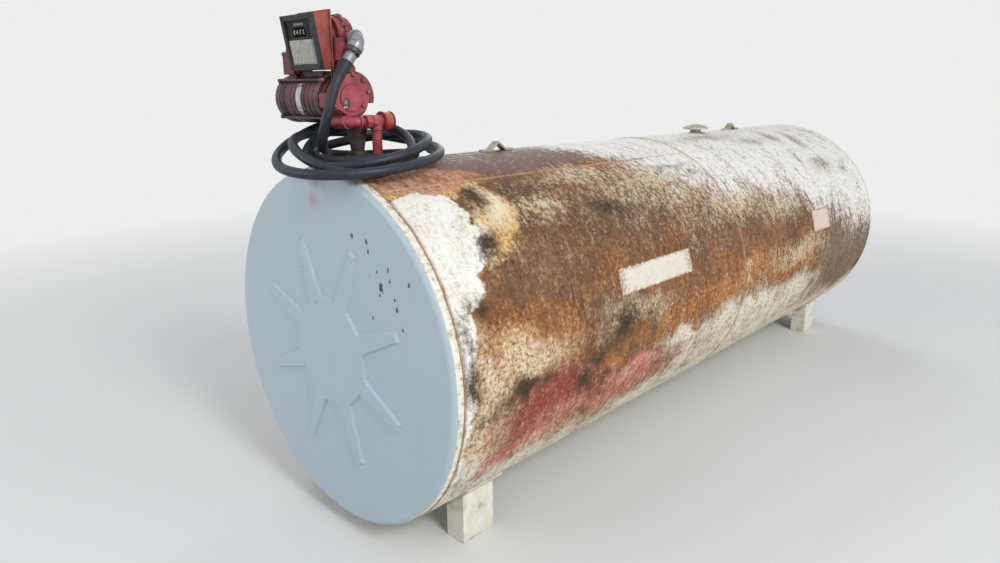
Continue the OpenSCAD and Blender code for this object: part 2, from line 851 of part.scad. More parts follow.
// Drop of the hose from the meter and its run out at the end, in millimetres: across, from the front end, up
hose_drop = [
    [29, 82, 283], [30, 61, 247], [30, 47, 213], [27, 36, 180], [18, 30, 148], [3, 30, 116], [-21, 38, 88],
    [-52, 55, 67], [-88, 80, 48]
];
hose_tail = [
    [-256, 330, 132], [-234, 405, 110], [-196, 463, 80], [-145, 500, 54], [-95, 514, 36], [-50, 515, 27]
];
// The coil's leaning turns: turns so far, middle of the turn, its radius, and its slope across and along
coil_turns = [
    [0, -46, 231, 26, 140, 0.15, -0.18], [1, -48, 226, 28, 182, -0.08, 0.05], [2, 46, 180, 73, 207, -0.08, 0.31],
    [3, 37, 83, 51, 168, -0.45, 0.01], [3.5, -89, 252, 8, 225, -0.21, 0.18], [4, 52, 194, 95, 322, -0.06, 0.3]
];
coil_from = 0.09;
coil_to = 4.25;
rings_per_turn = 14;
hose_sides = 8;

// A value of the coil at t turns, between those of the list
function turn_value(t, i) = lookup(t, [for (row = coil_turns) [row[0], row[i]]]);

// Point of the coil at t turns: on a circle that leans with its slopes, starting at the front
function coil_point(t) =
    let(a = -90 - 360 * t, r = turn_value(t, 4), dx = r * cos(a), dy = r * sin(a))
    [turn_value(t, 1) + dx, turn_value(t, 2) + dy,
     turn_value(t, 3) + turn_value(t, 5) * dx + turn_value(t, 6) * dy];

// The whole route, from the ferrule's mouth to the hose end
function hose_exit() =
    [outlet_x - meter_x + elbow_r, meter_y + 34 - hose_start * sin(hose_lean),
     meter_h - hose_start * cos(hose_lean)];
function hose_way() = [0, -sin(hose_lean), -cos(hose_lean)];
coil_steps = round((coil_to - coil_from) * rings_per_turn);
function hose_route() = concat(
    [hose_exit(), hose_exit() + (ferrule_l + 4) * hose_way()], hose_drop,
    [for (k = [0:coil_steps]) coil_point(coil_from + (coil_to - coil_from) * k / coil_steps)], hose_tail);

// Direction of the line at one of its points
function unit(v) = v / norm(v);
function tangent(path, i) = unit(path[min(i + 1, len(path) - 1)] - path[max(i - 1, 0)]);

// Side directions carried along the line without twisting
function side_dirs(path) =
    [for (i = 0, v = [1, 0, 0]; i < len(path);
          i = i + 1, v = i < len(path) ? unit(v - (v * tangent(path, i)) * tangent(path, i)) : v)
        unit(v - (v * tangent(path, i)) * tangent(path, i))];

// A round tube swept along a line of points
module tube(path, d, sides) {
    n = len(path);
    across = side_dirs(path);
    rings = [for (i = [0:n - 1]) let(u = across[i], w = cross(tangent(path, i), u))
        for (k = [0:sides - 1]) path[i] + d / 2 * (cos(360 * k / sides) * u + sin(360 * k / sides) * w)];
    walls = [for (i = [0:n - 2]) for (k = [0:sides - 1])
        let(a = i * sides + k, b = i * sides + (k + 1) % sides)
        each [[a, a + sides, b], [b, a + sides, b + sides]]];
    start = [[for (k = [0:sides - 1]) k]];
    finish = [[for (k = [sides - 1:-1:0]) (n - 1) * sides + k]];
    polyhedron(rings, concat(start, walls, finish));
}

module hose() {
    color("#20242c") on_top(0) tube(hose_route(), hose_d, hose_sides);
}

// Threaded coupling on the hose's end
module hose_end() {
    route = hose_route();
    last = route[len(route) - 1];
    way = tangent(route, len(route) - 1);
    color("#8d9093") on_top(0) translate(last)
        rotate([0, acos(way[2]), atan2(way[1], way[0])]) {
            translate([0, 0, seat]) cylinder(d = 38, h = 26);
            translate([0, 0, 26]) cylinder(d = 40, h = 14, $fn = 6);
            translate([0, 0, 40 - fuse]) cylinder(d = 26.4, h = 19);
        }
}

front_course();
rear_course();
girth_weld();
seam_welds();
head_welds();
front_head();
rear_head();
leg_pads();
leg_front_right();
leg_front_left();
leg_rear_right();
leg_rear_left();
lug_front();
lug_rear();
vent_neck();
vent_cap();
pump_bung();
suction_coupling();
suction_pipe();
suction_tee();
strainer_drum();
strainer_cap();
suction_union();
suction_nipple();
suction_elbow();
pump_pedestal();
pump_body();
pump_faceplate();
outlet_manifold();
motor_adapter();
motor_shell();
motor_end_bell();
motor_tie_rods();
motor_nameplate();
switch_box();
meter_neck();
meter_body();
meter_cover();
register_housing();
register_bezel();
register_dial();
outlet_elbow();
hose_swivel();
hose_ferrule();
hose();
hose_end();
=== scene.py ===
"""Looks of a weathered horizontal fuel tank with its transfer pump, meter and coiled hose."""

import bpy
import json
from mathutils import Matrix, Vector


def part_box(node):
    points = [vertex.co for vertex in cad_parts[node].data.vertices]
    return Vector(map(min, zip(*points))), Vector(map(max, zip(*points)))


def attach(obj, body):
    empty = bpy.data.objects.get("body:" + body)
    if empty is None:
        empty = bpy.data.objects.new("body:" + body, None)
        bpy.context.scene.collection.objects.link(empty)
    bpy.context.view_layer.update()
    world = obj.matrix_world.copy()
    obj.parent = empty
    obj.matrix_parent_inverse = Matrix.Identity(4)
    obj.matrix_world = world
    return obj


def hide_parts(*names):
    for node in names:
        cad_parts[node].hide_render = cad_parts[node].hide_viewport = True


bl_info = {
    "name": "Farm fuel tank",
    "version": (1, 0, 0),
    "blender": (4, 5, 0),
    "location": "3D Viewport > Sidebar > Fuel tank",
    "description": "Dresses a horizontal fuel storage tank, its pump, meter and hose",
    "category": "Object",
}

import json
import math
import random

import bmesh
import bpy
from mathutils import Matrix, Vector

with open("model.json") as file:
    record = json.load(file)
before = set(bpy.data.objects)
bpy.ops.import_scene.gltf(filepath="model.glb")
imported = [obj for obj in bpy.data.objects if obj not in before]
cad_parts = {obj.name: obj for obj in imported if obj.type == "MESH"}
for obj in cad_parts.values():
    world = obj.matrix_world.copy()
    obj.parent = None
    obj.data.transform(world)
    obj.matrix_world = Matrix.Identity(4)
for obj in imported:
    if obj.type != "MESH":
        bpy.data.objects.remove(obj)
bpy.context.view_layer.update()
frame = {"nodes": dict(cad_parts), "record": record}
NODE = frame["nodes"]

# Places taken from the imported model, in metres
SHELL_LO, SHELL_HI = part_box("front_course")
END_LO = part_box("front_head")[0]
REAR_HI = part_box("rear_head")[1]
X, Y, Z = Vector((1, 0, 0)), Vector((0, 1, 0)), Vector((0, 0, 1))
SHELL_R = (SHELL_HI[2] - SHELL_LO[2]) / 2
AXIS_Z = (SHELL_HI[2] + SHELL_LO[2]) / 2
TOP_Z = SHELL_HI[2]
PRESS_H = 0.009
FRONT_Y = END_LO[1] + PRESS_H
REAR_Y = REAR_HI[1] - PRESS_H
TANK_L = REAR_Y - FRONT_Y
FLANGE_SHOW = SHELL_LO[1] - FRONT_Y


def on_top(across, from_front, up):
    """A point given in millimetres from the front end of the shell's top line, in metres."""
    return Vector((across / 1000, FRONT_Y + from_front / 1000, TOP_Z + up / 1000))


def on_shell(along, angle, proud=0.0):
    """A point on the shell: metres from the front end, and radians above the horizontal on the +X side."""
    r = SHELL_R + proud
    return Vector((r * math.cos(angle), FRONT_Y + along, AXIS_Z + r * math.sin(angle)))


# The pump's parts, as the source of the solids places them, in millimetres
PUMP_Y, PUMP_Z = 150, 210
MOTOR_X, MOTOR_R = -375, 80
METER_X, METER_Y, METER_Z = -112, 136, 401
REGISTER_X, REGISTER_Y, REGISTER_Z = -143, 79.7, 306
BEZEL_W = 17
FACE_TILT = math.atan(28 / 171)
FACE_H = 171 / math.cos(FACE_TILT)
FACE_OUT = Vector((0, -math.cos(FACE_TILT), -math.sin(FACE_TILT)))
FACE_UP = Vector((0, -math.sin(FACE_TILT), math.cos(FACE_TILT)))
WINDOW_UP, WHEEL_R, WHEEL_PITCH = FACE_H * 0.68, 13, 18
HOSE_LEAN = math.radians(36)
COVER_BOLT_R, FLANGE_BOLT_R, TIE_ROD_R = 65, 77, 87
SWITCH_X, SWITCH_Y, SWITCH_TOP = -293, 128, 364
# Welds round the fittings on the tank's top: across, from the front end, and the weld's radius
TOP_WELDS = ((-34, 180, 43.5), (36, 212, 24.5), (0, 2444, 31.5))
# Degrees above the horizontal at which the two long seams run
FRONT_SEAM, REAR_SEAM = 65, 118


# Small helpers

def linear(hex_colour):
    """A colour written as sRGB hex, as the linear RGBA that Blender's sockets take."""
    out = []
    for i in (1, 3, 5):
        c = int(hex_colour[i:i + 2], 16) / 255
        out.append(c / 12.92 if c <= 0.04045 else ((c + 0.055) / 1.055) ** 2.4)
    return (*out, 1.0)


def wire(tree, node, inputs):
    """Links a socket to the node's input of that name or number, or sets a hex colour or a plain value."""
    for key, value in inputs.items():
        if isinstance(value, bpy.types.NodeSocket):
            tree.links.new(value, node.inputs[key])
        else:
            is_hex = isinstance(value, str) and value.startswith("#")
            node.inputs[key].default_value = linear(value) if is_hex else value


def add(tree, kind, inputs=None, out=0, stops=(), **settings):
    """Adds a node and returns its output of that number or name, or the node itself where out is None.

    A shader node's kind is written without ShaderNode in front, and every other kind whole. A full stop and
    the node's operation may follow it. A ramp's stops are places from 0 to 1, each with a hex colour.
    """
    kind, _, operation = kind.partition(".")
    node = tree.nodes.new(kind if "Node" in kind else "ShaderNode" + kind)
    if operation:
        node.operation = operation
    for name, value in settings.items():
        setattr(node, name, value)
    for k, (at, colour) in enumerate(stops):
        if k == len(node.color_ramp.elements):
            node.color_ramp.elements.new(at)
        node.color_ramp.elements[k].position = at
        node.color_ramp.elements[k].color = linear(colour)
    wire(tree, node, inputs or {})
    return node if out is None else node.outputs[out]


# The colour sockets of a Mix node
MIX_A, MIX_B, MIX_OUT = 6, 7, 2


def new_material(name):
    """An empty node material with its output, a Principled shader and the place on the object in metres."""
    material = bpy.data.materials.new(name)
    material.use_nodes = True
    tree = material.node_tree
    tree.nodes.clear()
    shader = add(tree, "BsdfPrincipled", out=None)
    add(tree, "OutputMaterial", {"Surface": shader.outputs[0]}, out=None)
    return material, tree, shader, add(tree, "TexCoord", out="Object")


def speckle(tree, place, millimetres, detail=5.0, rough=0.62, stretch=(1, 1, 1)):
    """Three unlike noises whose spots are about this many millimetres across, each about 0.5."""
    scaled = add(tree, "VectorMath.MULTIPLY", {0: place, 1: stretch})
    noise = add(tree, "TexNoise", {"Vector": scaled, "Scale": 500 / millimetres, "Detail": detail,
                                   "Roughness": rough}, out="Color")
    return add(tree, "SeparateColor", {0: noise}, out=None).outputs


def coat(tree, under, over, cover, tooth, bite=1.0, soft=0.1):
    """One coat of paint or rust on what is under it. Where cover is middling, the tooth noise eats its edge.

    Returns the colour so far and the mask of the coat that is left.
    """
    eaten = add(tree, "Math.MULTIPLY_ADD", {0: tooth, 1: bite, 2: cover})
    middle = 0.5 + 0.5 * bite
    left = add(tree, "MapRange", {0: eaten, 1: middle - soft, 2: middle + soft})
    colour = add(tree, "Mix", {0: left, MIX_A: under, MIX_B: over}, data_type="RGBA", out=MIX_OUT)
    return colour, left


def most(tree, masks):
    """The strongest of several masks at each place."""
    out = masks[0]
    for mask in masks[1:]:
        out = add(tree, "Math.MAXIMUM", {0: out, 1: mask})
    return out


def blots(tree, flat, places, unit=(1, 1), peak=1.0):
    """Soft oval blots on a flat map. A place is its middle, its half widths and how soft its edge is."""
    masks = []
    for u, v, half_u, half_v, soft in places:
        off = add(tree, "VectorMath.SUBTRACT", {0: flat, 1: (u * unit[0], v * unit[1], 0)})
        oval = add(tree, "VectorMath.DIVIDE", {0: off, 1: (half_u * unit[0], half_v * unit[1], 1)})
        far = add(tree, "VectorMath.LENGTH", {0: oval}, out="Value")
        masks.append(add(tree, "MapRange", {0: far, 1: 1 + soft, 2: 1 - soft, 4: peak}))
    return most(tree, masks)


# The shell's materials

# Where each colour lies on the seen side of the shell: metres from the front end, degrees above mid height,
# their half widths, and softness. Read off the shape of the stains, one blot at a time.
UMBER = ((1.05, 40, 0.7, 12, 0.5), (1.9, 25, 0.6, 8, 0.5), (0.5, 30, 0.28, 8, 0.5), (2.5, 20, 0.3, 7, 0.4),
         (0.62, 57, 0.13, 8, 0.4), (0.75, 10, 0.25, 4, 0.7))
ORANGE = ((1.2, -3, 0.35, 5, 0.7), (1.62, -1, 0.3, 5, 0.6), (1.98, 4, 0.2, 7, 0.7), (2.42, 2, 0.27, 7, 0.7),
          (0.83, -8, 0.07, 4, 0.5), (0.35, 9, 0.25, 7, 0.8))
SMOOTH_TOP = ((0.86, 82, 0.4, 17, 0.1), (0.6, 84, 0.3, 17, 0.2))
FRONT_MOTTLE = ((0.25, 71, 0.32, 7, 0.3), (0.2, 80, 0.35, 8, 0.4))
OCHRE = ((0.39, 50, 0.125, 12, 0.4), (0.35, 40, 0.1, 5, 0.6), (0.2, 64, 0.25, 3, 0.4))
OCHRE_HEART = ((0.42, 53, 0.06, 7, 0.9), (0.29, 44, 0.03, 8, 0.9))
STREAKS = ((0.95, 60, 0.22, 5, 0.7), (0.62, 49, 0.1, 6, 0.9), (1.4, 50, 0.45, 12, 0.8),
           (1.9, 35, 0.45, 8, 0.8), (2.4, 28, 0.3, 6, 0.8), (1.93, 5, 0.03, 5, 0.7), (2.5, 5, 0.3, 5, 0.9))
TAN = ((0.1, 2, 0.12, 12, 0.6), (0.28, 3, 0.2, 8, 0.9), (0.1, -17, 0.16, 17, 0.4), (0.95, 6, 0.2, 5, 0.9))
RED = ((0.5, -14, 0.3, 12, 0.45), (0.95, -19, 0.3, 8, 0.5), (1.35, -20, 0.3, 6, 0.5),
       (0.34, -27, 0.18, 6, 0.5), (2.16, -20, 0.12, 7, 0.7), (3.1, -31, 0.25, 4, 0.9))
RED_HEART = ((0.47, -13, 0.2, 8, 0.6), (0.34, -22, 0.1, 5, 0.7), (0.8, -22, 0.25, 3, 0.7))
FADED_RED = ((0.55, -27, 0.42, 6, 0.7), (1.1, -27, 0.5, 4, 0.8), (0.95, -17, 0.12, 5, 0.9))
FRONT_PATCH = ((0.12, 54, 0.135, 10, 0.15), (0.145, 43, 0.145, 10, 0.2), (0.1, 31, 0.12, 8, 0.3),
               (0.05, 19, 0.06, 9, 0.4), (0.03, 0, 0.03, 50, 0.4))
LOW_WHITE = ((1.9, -15, 0.6, 9, 0.6), (1.35, -11, 0.22, 3, 0.7), (2.5, -17, 0.3, 9, 0.6),
             (2.1, -27, 0.75, 9, 0.5), (0.09, -30, 0.11, 12, 0.6))
REAR_GRIME = ((3.1, 0, 0.33, 12, 0.4), (3.5, -8, 0.4, 15, 0.4), (3.15, -24, 0.35, 16, 0.5),
              (3.0, 13, 0.13, 6, 0.5))
ROOF_GRIME = ((2.95, 72, 0.05, 8, 0.8), (3.15, 66, 0.06, 9, 0.8), (2.65, 70, 0.15, 4, 0.9),
              (3.12, 43, 0.12, 3.5, 0.9), (2.3, 78, 0.25, 4, 0.9), (3.4, 39, 0.05, 3, 0.9),
              (1.6, 56, 0.14, 2, 0.9), (1.7, 50, 0.12, 1, 0.9))
SCABS = ((0.87, 1, 0.2, 6, 0.9), (0.71, -2, 0.09, 3, 0.9), (0.17, -6, 0.07, 4, 0.9), (0.28, -6, 0.14, 3, 0.9),
         (0.39, -8, 0.06, 2.4, 0.9), (0.6, -10, 0.05, 6, 0.9), (0.33, 57, 0.06, 5, 0.9),
         (0.3, 41, 0.05, 4, 0.9), (0.76, -11, 0.05, 2, 0.9), (0.18, 22, 0.05, 5, 0.9),
         (0.95, 44, 0.1, 3, 0.9), (0.06, 8, 0.04, 9, 0.9))
# Lower edge of the white roof: metres from the front end, degrees above mid height
ROOF_EDGE = ((0.0, 92), (1.0, 92), (1.12, 80), (1.25, 66), (1.45, 52), (1.7, 43), (1.95, 40), (2.25, 36),
             (2.6, 31), (2.78, 22), (3.0, 18), (3.25, 9), (3.5, 5), (3.7, 3))
# Colours of the coats: places on a ramp from a noise's low to its high, and sRGB hex
BARE_SCALE = ((0.36, "#3C291C"), (0.44, "#65422A"), (0.5, "#7B5233"), (0.555, "#916439"), (0.61, "#B98B5B"),
              (0.67, "#D8C098"))
DULL_SCALE = ((0.34, "#372A22"), (0.43, "#564031"), (0.51, "#6C523D"), (0.58, "#82674E"), (0.67, "#B5A07E"))
BRIGHT_SCALE = ((0.37, "#4C2D1B"), (0.44, "#824E27"), (0.5, "#A36C3C"), (0.555, "#C4925A"), (0.61, "#E6D2AA"))
GREY_SCALE = ((0.36, "#4F4436"), (0.5, "#746350"), (0.62, "#988976"))
TAN_STAIN = ((0.36, "#654830"), (0.43, "#A58560"), (0.51, "#CBB390"), (0.6, "#E6DAC0"))
OCHRE_STAIN = ((0.34, "#6A4328"), (0.43, "#AF7D41"), (0.52, "#C79E60"), (0.62, "#DCC08C"))
PINK_MOTTLE = ((0.2, "#6E4636"), (0.36, "#9C6448"), (0.48, "#B5805F"), (0.6, "#C99F86"), (0.75, "#DCCAB4"))
SMOOTH_BROWN = ((0.3, "#5E443B"), (0.5, "#694D43"), (0.7, "#745A4F"))
PRIMER = ((0.22, "#452B20"), (0.4, "#703B2D"), (0.54, "#8C5040"), (0.68, "#B98672"), (0.8, "#D6C0AC"))
PRIMER_HEART = ((0.34, "#47241B"), (0.45, "#7D342A"), (0.53, "#934236"), (0.63, "#B2685A"))
PRIMER_FADED = ((0.25, "#94463E"), (0.42, "#BC6F62"), (0.55, "#D29A8A"), (0.72, "#E4CEBB"))
CREAM_STREAK = ((0.36, "#8E7759"), (0.47, "#BBA783"), (0.56, "#D3C6A8"), (0.66, "#E2DAC6"))
ROOF_CHALK = ((0.2, "#7C7064"), (0.31, "#A89F91"), (0.41, "#D2CDC3"), (0.53, "#E6E4DF"), (0.75, "#EEEDEA"))
AGED_WHITE = ((0.24, "#65543F"), (0.36, "#A08F72"), (0.46, "#CCC3AC"), (0.58, "#E0DBCD"))
PATCH_WHITE = ((0.18, "#A1937B"), (0.32, "#CCC3AF"), (0.46, "#E2DED3"), (0.65, "#EAE8E2"))
ROOF_DIRT = ((0.36, "#5E5248"), (0.5, "#7E7166"), (0.62, "#A69B8D"))
SCAB_BLACK = ((0.38, "#2A211B"), (0.6, "#51402F"))


def rolled_plate(weld=False):
    """Rolled steel plate with the remains of old brushed paint over a deep, even bloom of rust.

    The eye sees a matt patchwork: chalky white where the paint holds, brown and orange scale where it has
    gone, and old red primer low down, all of it broken up round the shell where the brush and the rain went.
    """
    material, tree, shader, raw = new_material("rusted_weld_old_paint" if weld else "rusted_plate_old_paint")
    axes = add(tree, "SeparateXYZ", {0: raw}, out=None).outputs
    # the unseen side has the same kinds of stain, further along and higher
    unseen = add(tree, "MapRange", {0: axes[0], 1: -0.06, 2: -0.42, 3: 0.0, 4: 0.55},
                 interpolation_type="SMOOTHSTEP")
    along = add(tree, "Math.SUBTRACT", {0: axes[1], 1: FRONT_Y})
    height = add(tree, "Math.SUBTRACT", {0: axes[2], 1: AXIS_Z})
    sine = add(tree, "Math.DIVIDE", {0: height, 1: SHELL_R + 0.0005})
    angle = add(tree, "Math.ARCSINE", {0: sine})
    shifted = add(tree, "Math.ADD", {0: along, 1: unseen})
    lifted = add(tree, "Math.MULTIPLY_ADD", {0: unseen, 1: 0.35, 2: angle})
    arc = add(tree, "Math.MULTIPLY", {0: lifted, 1: SHELL_R})
    flat = add(tree, "CombineXYZ", {0: shifted, 1: arc, 2: 0.0})
    # large wander of every edge, about 60 mm each way
    wander = add(tree, "TexNoise", {"Vector": raw, "Scale": 3.4, "Detail": 5.0, "Roughness": 0.6},
                 out="Color")
    sway = add(tree, "VectorMath.MULTIPLY_ADD", {0: wander, 1: (0.3, 0.3, 0), 2: (-0.15, -0.15, 0)})
    flat = add(tree, "VectorMath.ADD", {0: flat, 1: sway})
    # along in metres, and up in degrees
    unit = (1, math.radians(1) * SHELL_R)

    coarse = speckle(tree, raw, 80, 7.0, 0.66)
    fine = speckle(tree, raw, 8, 5.0, 0.8)
    streaky = speckle(tree, raw, 22, 7.0, 0.76, (0.65, 1.3, 0.65))
    # a tooth with two sizes in it breaks an edge into islands and crumbs
    tooth = []
    for small, large in ((fine[0], coarse[0]), (fine[1], coarse[1]), (fine[2], streaky[0]),
                         (fine[0], streaky[1])):
        both = add(tree, "Math.ADD", {0: small, 1: large})
        tooth.append(add(tree, "Math.SUBTRACT", {0: both, 1: 0.5}))

    def layer(under, places, noise, palette, number, bite, soft, peak=1.0):
        """One coat in a palette's colours on these places, its edge eaten by one of the teeth."""
        over = add(tree, "ValToRGB", {0: noise}, stops=palette)
        return coat(tree, under, over, blots(tree, flat, places, unit, peak), tooth[number], bite, soft)

    # bare scale: brown, crumbled with lighter and darker grains of a few millimetres
    grain = add(tree, "Math.MULTIPLY", {0: fine[1], 1: 0.6})
    grain = add(tree, "Math.MULTIPLY_ADD", {0: coarse[2], 1: 0.25, 2: grain})
    grain = add(tree, "Math.MULTIPLY_ADD", {0: streaky[2], 1: 0.15, 2: grain})
    colour = add(tree, "ValToRGB", {0: grain}, stops=BARE_SCALE)
    colour, _ = layer(colour, UMBER, grain, DULL_SCALE, 1, 1.4, 0.45, 0.85)
    colour, _ = layer(colour, ORANGE, grain, BRIGHT_SCALE, 2, 1.6, 0.45, 0.8)
    colour, _ = layer(colour, REAR_GRIME, grain, GREY_SCALE, 2, 1.0, 0.4)
    # tan and ochre stains
    colour, _ = layer(colour, TAN, fine[2], TAN_STAIN, 0, 1.3, 0.3, 0.95)
    ochre = add(tree, "ValToRGB", {0: fine[0]}, stops=OCHRE_STAIN)
    ochre, _ = coat(tree, ochre, "#E4D9B6", blots(tree, flat, OCHRE_HEART, unit), tooth[3], 1.6, 0.5)
    colour, _ = coat(tree, colour, ochre, blots(tree, flat, OCHRE, unit), tooth[0], 1.1, 0.16)
    colour, _ = layer(colour, FRONT_MOTTLE, tooth[2], PINK_MOTTLE, 2, 0.9, 0.2)
    smooth = add(tree, "ValToRGB", {0: coarse[1]}, stops=SMOOTH_BROWN)
    above_seam = add(tree, "MapRange", {0: angle, 1: math.radians(64.6), 2: math.radians(65.6)})
    top_cover = add(tree, "Math.MULTIPLY", {0: blots(tree, flat, SMOOTH_TOP, unit), 1: above_seam})
    colour, smooth_left = coat(tree, colour, smooth, top_cover, tooth[2], 0.4, 0.14)
    # old red primer, brighter in its middle and scrubbed pale below
    red = add(tree, "ValToRGB", {0: tooth[3]}, stops=PRIMER)
    red, _ = layer(red, RED_HEART, grain, PRIMER_HEART, 1, 1.6, 0.5, 0.8)
    red, _ = layer(red, FADED_RED, tooth[2], PRIMER_FADED, 3, 1.2, 0.5, 0.9)
    colour, _ = coat(tree, colour, red, blots(tree, flat, RED, unit, 0.92), tooth[3], 1.1, 0.45)
    # the white coat: streaky remains, then the roof, the belly and the front patch
    colour, streak_left = layer(colour, STREAKS, fine[2], CREAM_STREAK, 2, 2.0, 0.3, 0.62)
    edge = add(tree, "FloatCurve", {1: add(tree, "Math.DIVIDE", {0: shifted, 1: ROOF_EDGE[-1][0]})}, out=None)
    curve = edge.mapping.curves[0]
    while len(curve.points) < len(ROOF_EDGE):
        curve.points.new(0.5, 0.5)
    for point, (at, degrees) in zip(curve.points, ROOF_EDGE):
        point.location = (at / ROOF_EDGE[-1][0], degrees / 100)
        point.handle_type = "VECTOR"
    edge.mapping.update()
    sway_up = add(tree, "SeparateXYZ", {0: sway}, out=1)
    swayed = add(tree, "Math.MULTIPLY_ADD", {0: sway_up, 1: 1 / SHELL_R, 2: lifted})
    over = add(tree, "Math.MULTIPLY_ADD", {0: edge.outputs[0], 1: -math.radians(100), 2: swayed})
    roof = add(tree, "MapRange", {0: over, 1: math.radians(-16), 2: math.radians(20)})
    belly = add(tree, "MapRange", {0: swayed, 1: math.radians(-24), 2: math.radians(-38)})
    low = blots(tree, flat, LOW_WHITE, unit, 0.85)
    chalk = add(tree, "ValToRGB", {0: tooth[2]}, stops=ROOF_CHALK)
    aged = add(tree, "ValToRGB", {0: tooth[2]}, stops=AGED_WHITE)
    colour, white_left = coat(tree, colour, chalk, roof, tooth[3], 1.8, 0.2)
    colour, low_left = coat(tree, colour, aged, most(tree, (belly, low)), tooth[0], 1.4, 0.3)
    colour, patch_left = layer(colour, FRONT_PATCH, tooth[0], PATCH_WHITE, 0, 0.8, 0.12)
    colour, _ = layer(colour, ROOF_GRIME, fine[1], ROOF_DIRT, 2, 2.4, 0.3, 0.6)
    # black scabs, and pinholes of rust through the paint
    colour, scab_left = layer(colour, SCABS, fine[1], SCAB_BLACK, 1, 2.2, 0.35, 0.95)
    colour, _ = coat(tree, colour, "#5B4332", 0.0, tooth[1], 1.8, 0.16)
    # rust weeps out along the girth weld and the laps at the ends
    girth = add(tree, "Math.ABSOLUTE", {0: axes[1]})
    weep = add(tree, "MapRange", {0: girth, 1: 0.02, 2: 0.003, 3: 0.0, 4: 0.5})
    colour, _ = coat(tree, colour, "#7D5C4C", weep, tooth[0], 0.7, 0.2)
    lap = add(tree, "MapRange", {0: girth, 1: TANK_L / 2 - FLANGE_SHOW - 0.014,
                                 2: TANK_L / 2 - FLANGE_SHOW + 0.002, 3: 0.0, 4: 0.6})
    colour, _ = coat(tree, colour, "#8C6A48", lap, tooth[3], 1.3, 0.3)
    if weld:
        colour, _ = coat(tree, colour, "#BBA080", 0.5, tooth[0], 1.0, 0.3)
        colour, _ = coat(tree, colour, "#6F5140", 0.25, tooth[1], 1.6, 0.3)
    paint = most(tree, (white_left, low_left, patch_left, smooth_left, streak_left))
    dullness = add(tree, "MapRange", {0: paint, 3: 0.86, 4: 0.62})
    # 0.3 mm of paint over pitted scale; drawn at 1 mm so that it shows
    relief = add(tree, "Math.MULTIPLY_ADD", {0: fine[1], 1: 1.4, 2: paint})
    relief = add(tree, "Math.MULTIPLY_ADD", {0: scab_left, 1: 0.8, 2: relief})
    bump = add(tree, "Bump", {"Strength": 0.55, "Distance": 0.001, "Height": relief})
    wire(tree, shader, {"Base Color": colour, "Roughness": dullness, "IOR": 1.33, "Normal": bump})
    return material


# Chips on the front end: across, above the axis, half widths, all in millimetres
END_CHIPS = ((167, 431, 6, 9), (241, 423, 5, 8), (248, 392, 4, 7), (306, 288, 9, 15), (381, 234, 6, 9),
             (256, 180, 4, 5), (353, 316, 5, 7), (345, 349, 4, 8), (289, 333, 4, 5), (252, 316, 4, 4),
             (-131, 283, 3, 4), (-56, 171, 3, 3), (406, 173, 4, 7), (443, 321, 5, 8), (372, 262, 3, 5),
             (298, 262, 4, 4))
# A pink smudge and a stain under the hose: the blot in metres, and its colour
END_MARKS = (((-0.046, 0.523, 0.03, 0.025, 0.8), "#AD949A"), ((-0.02, 0.585, 0.05, 0.02, 0.8), "#8E9389"))


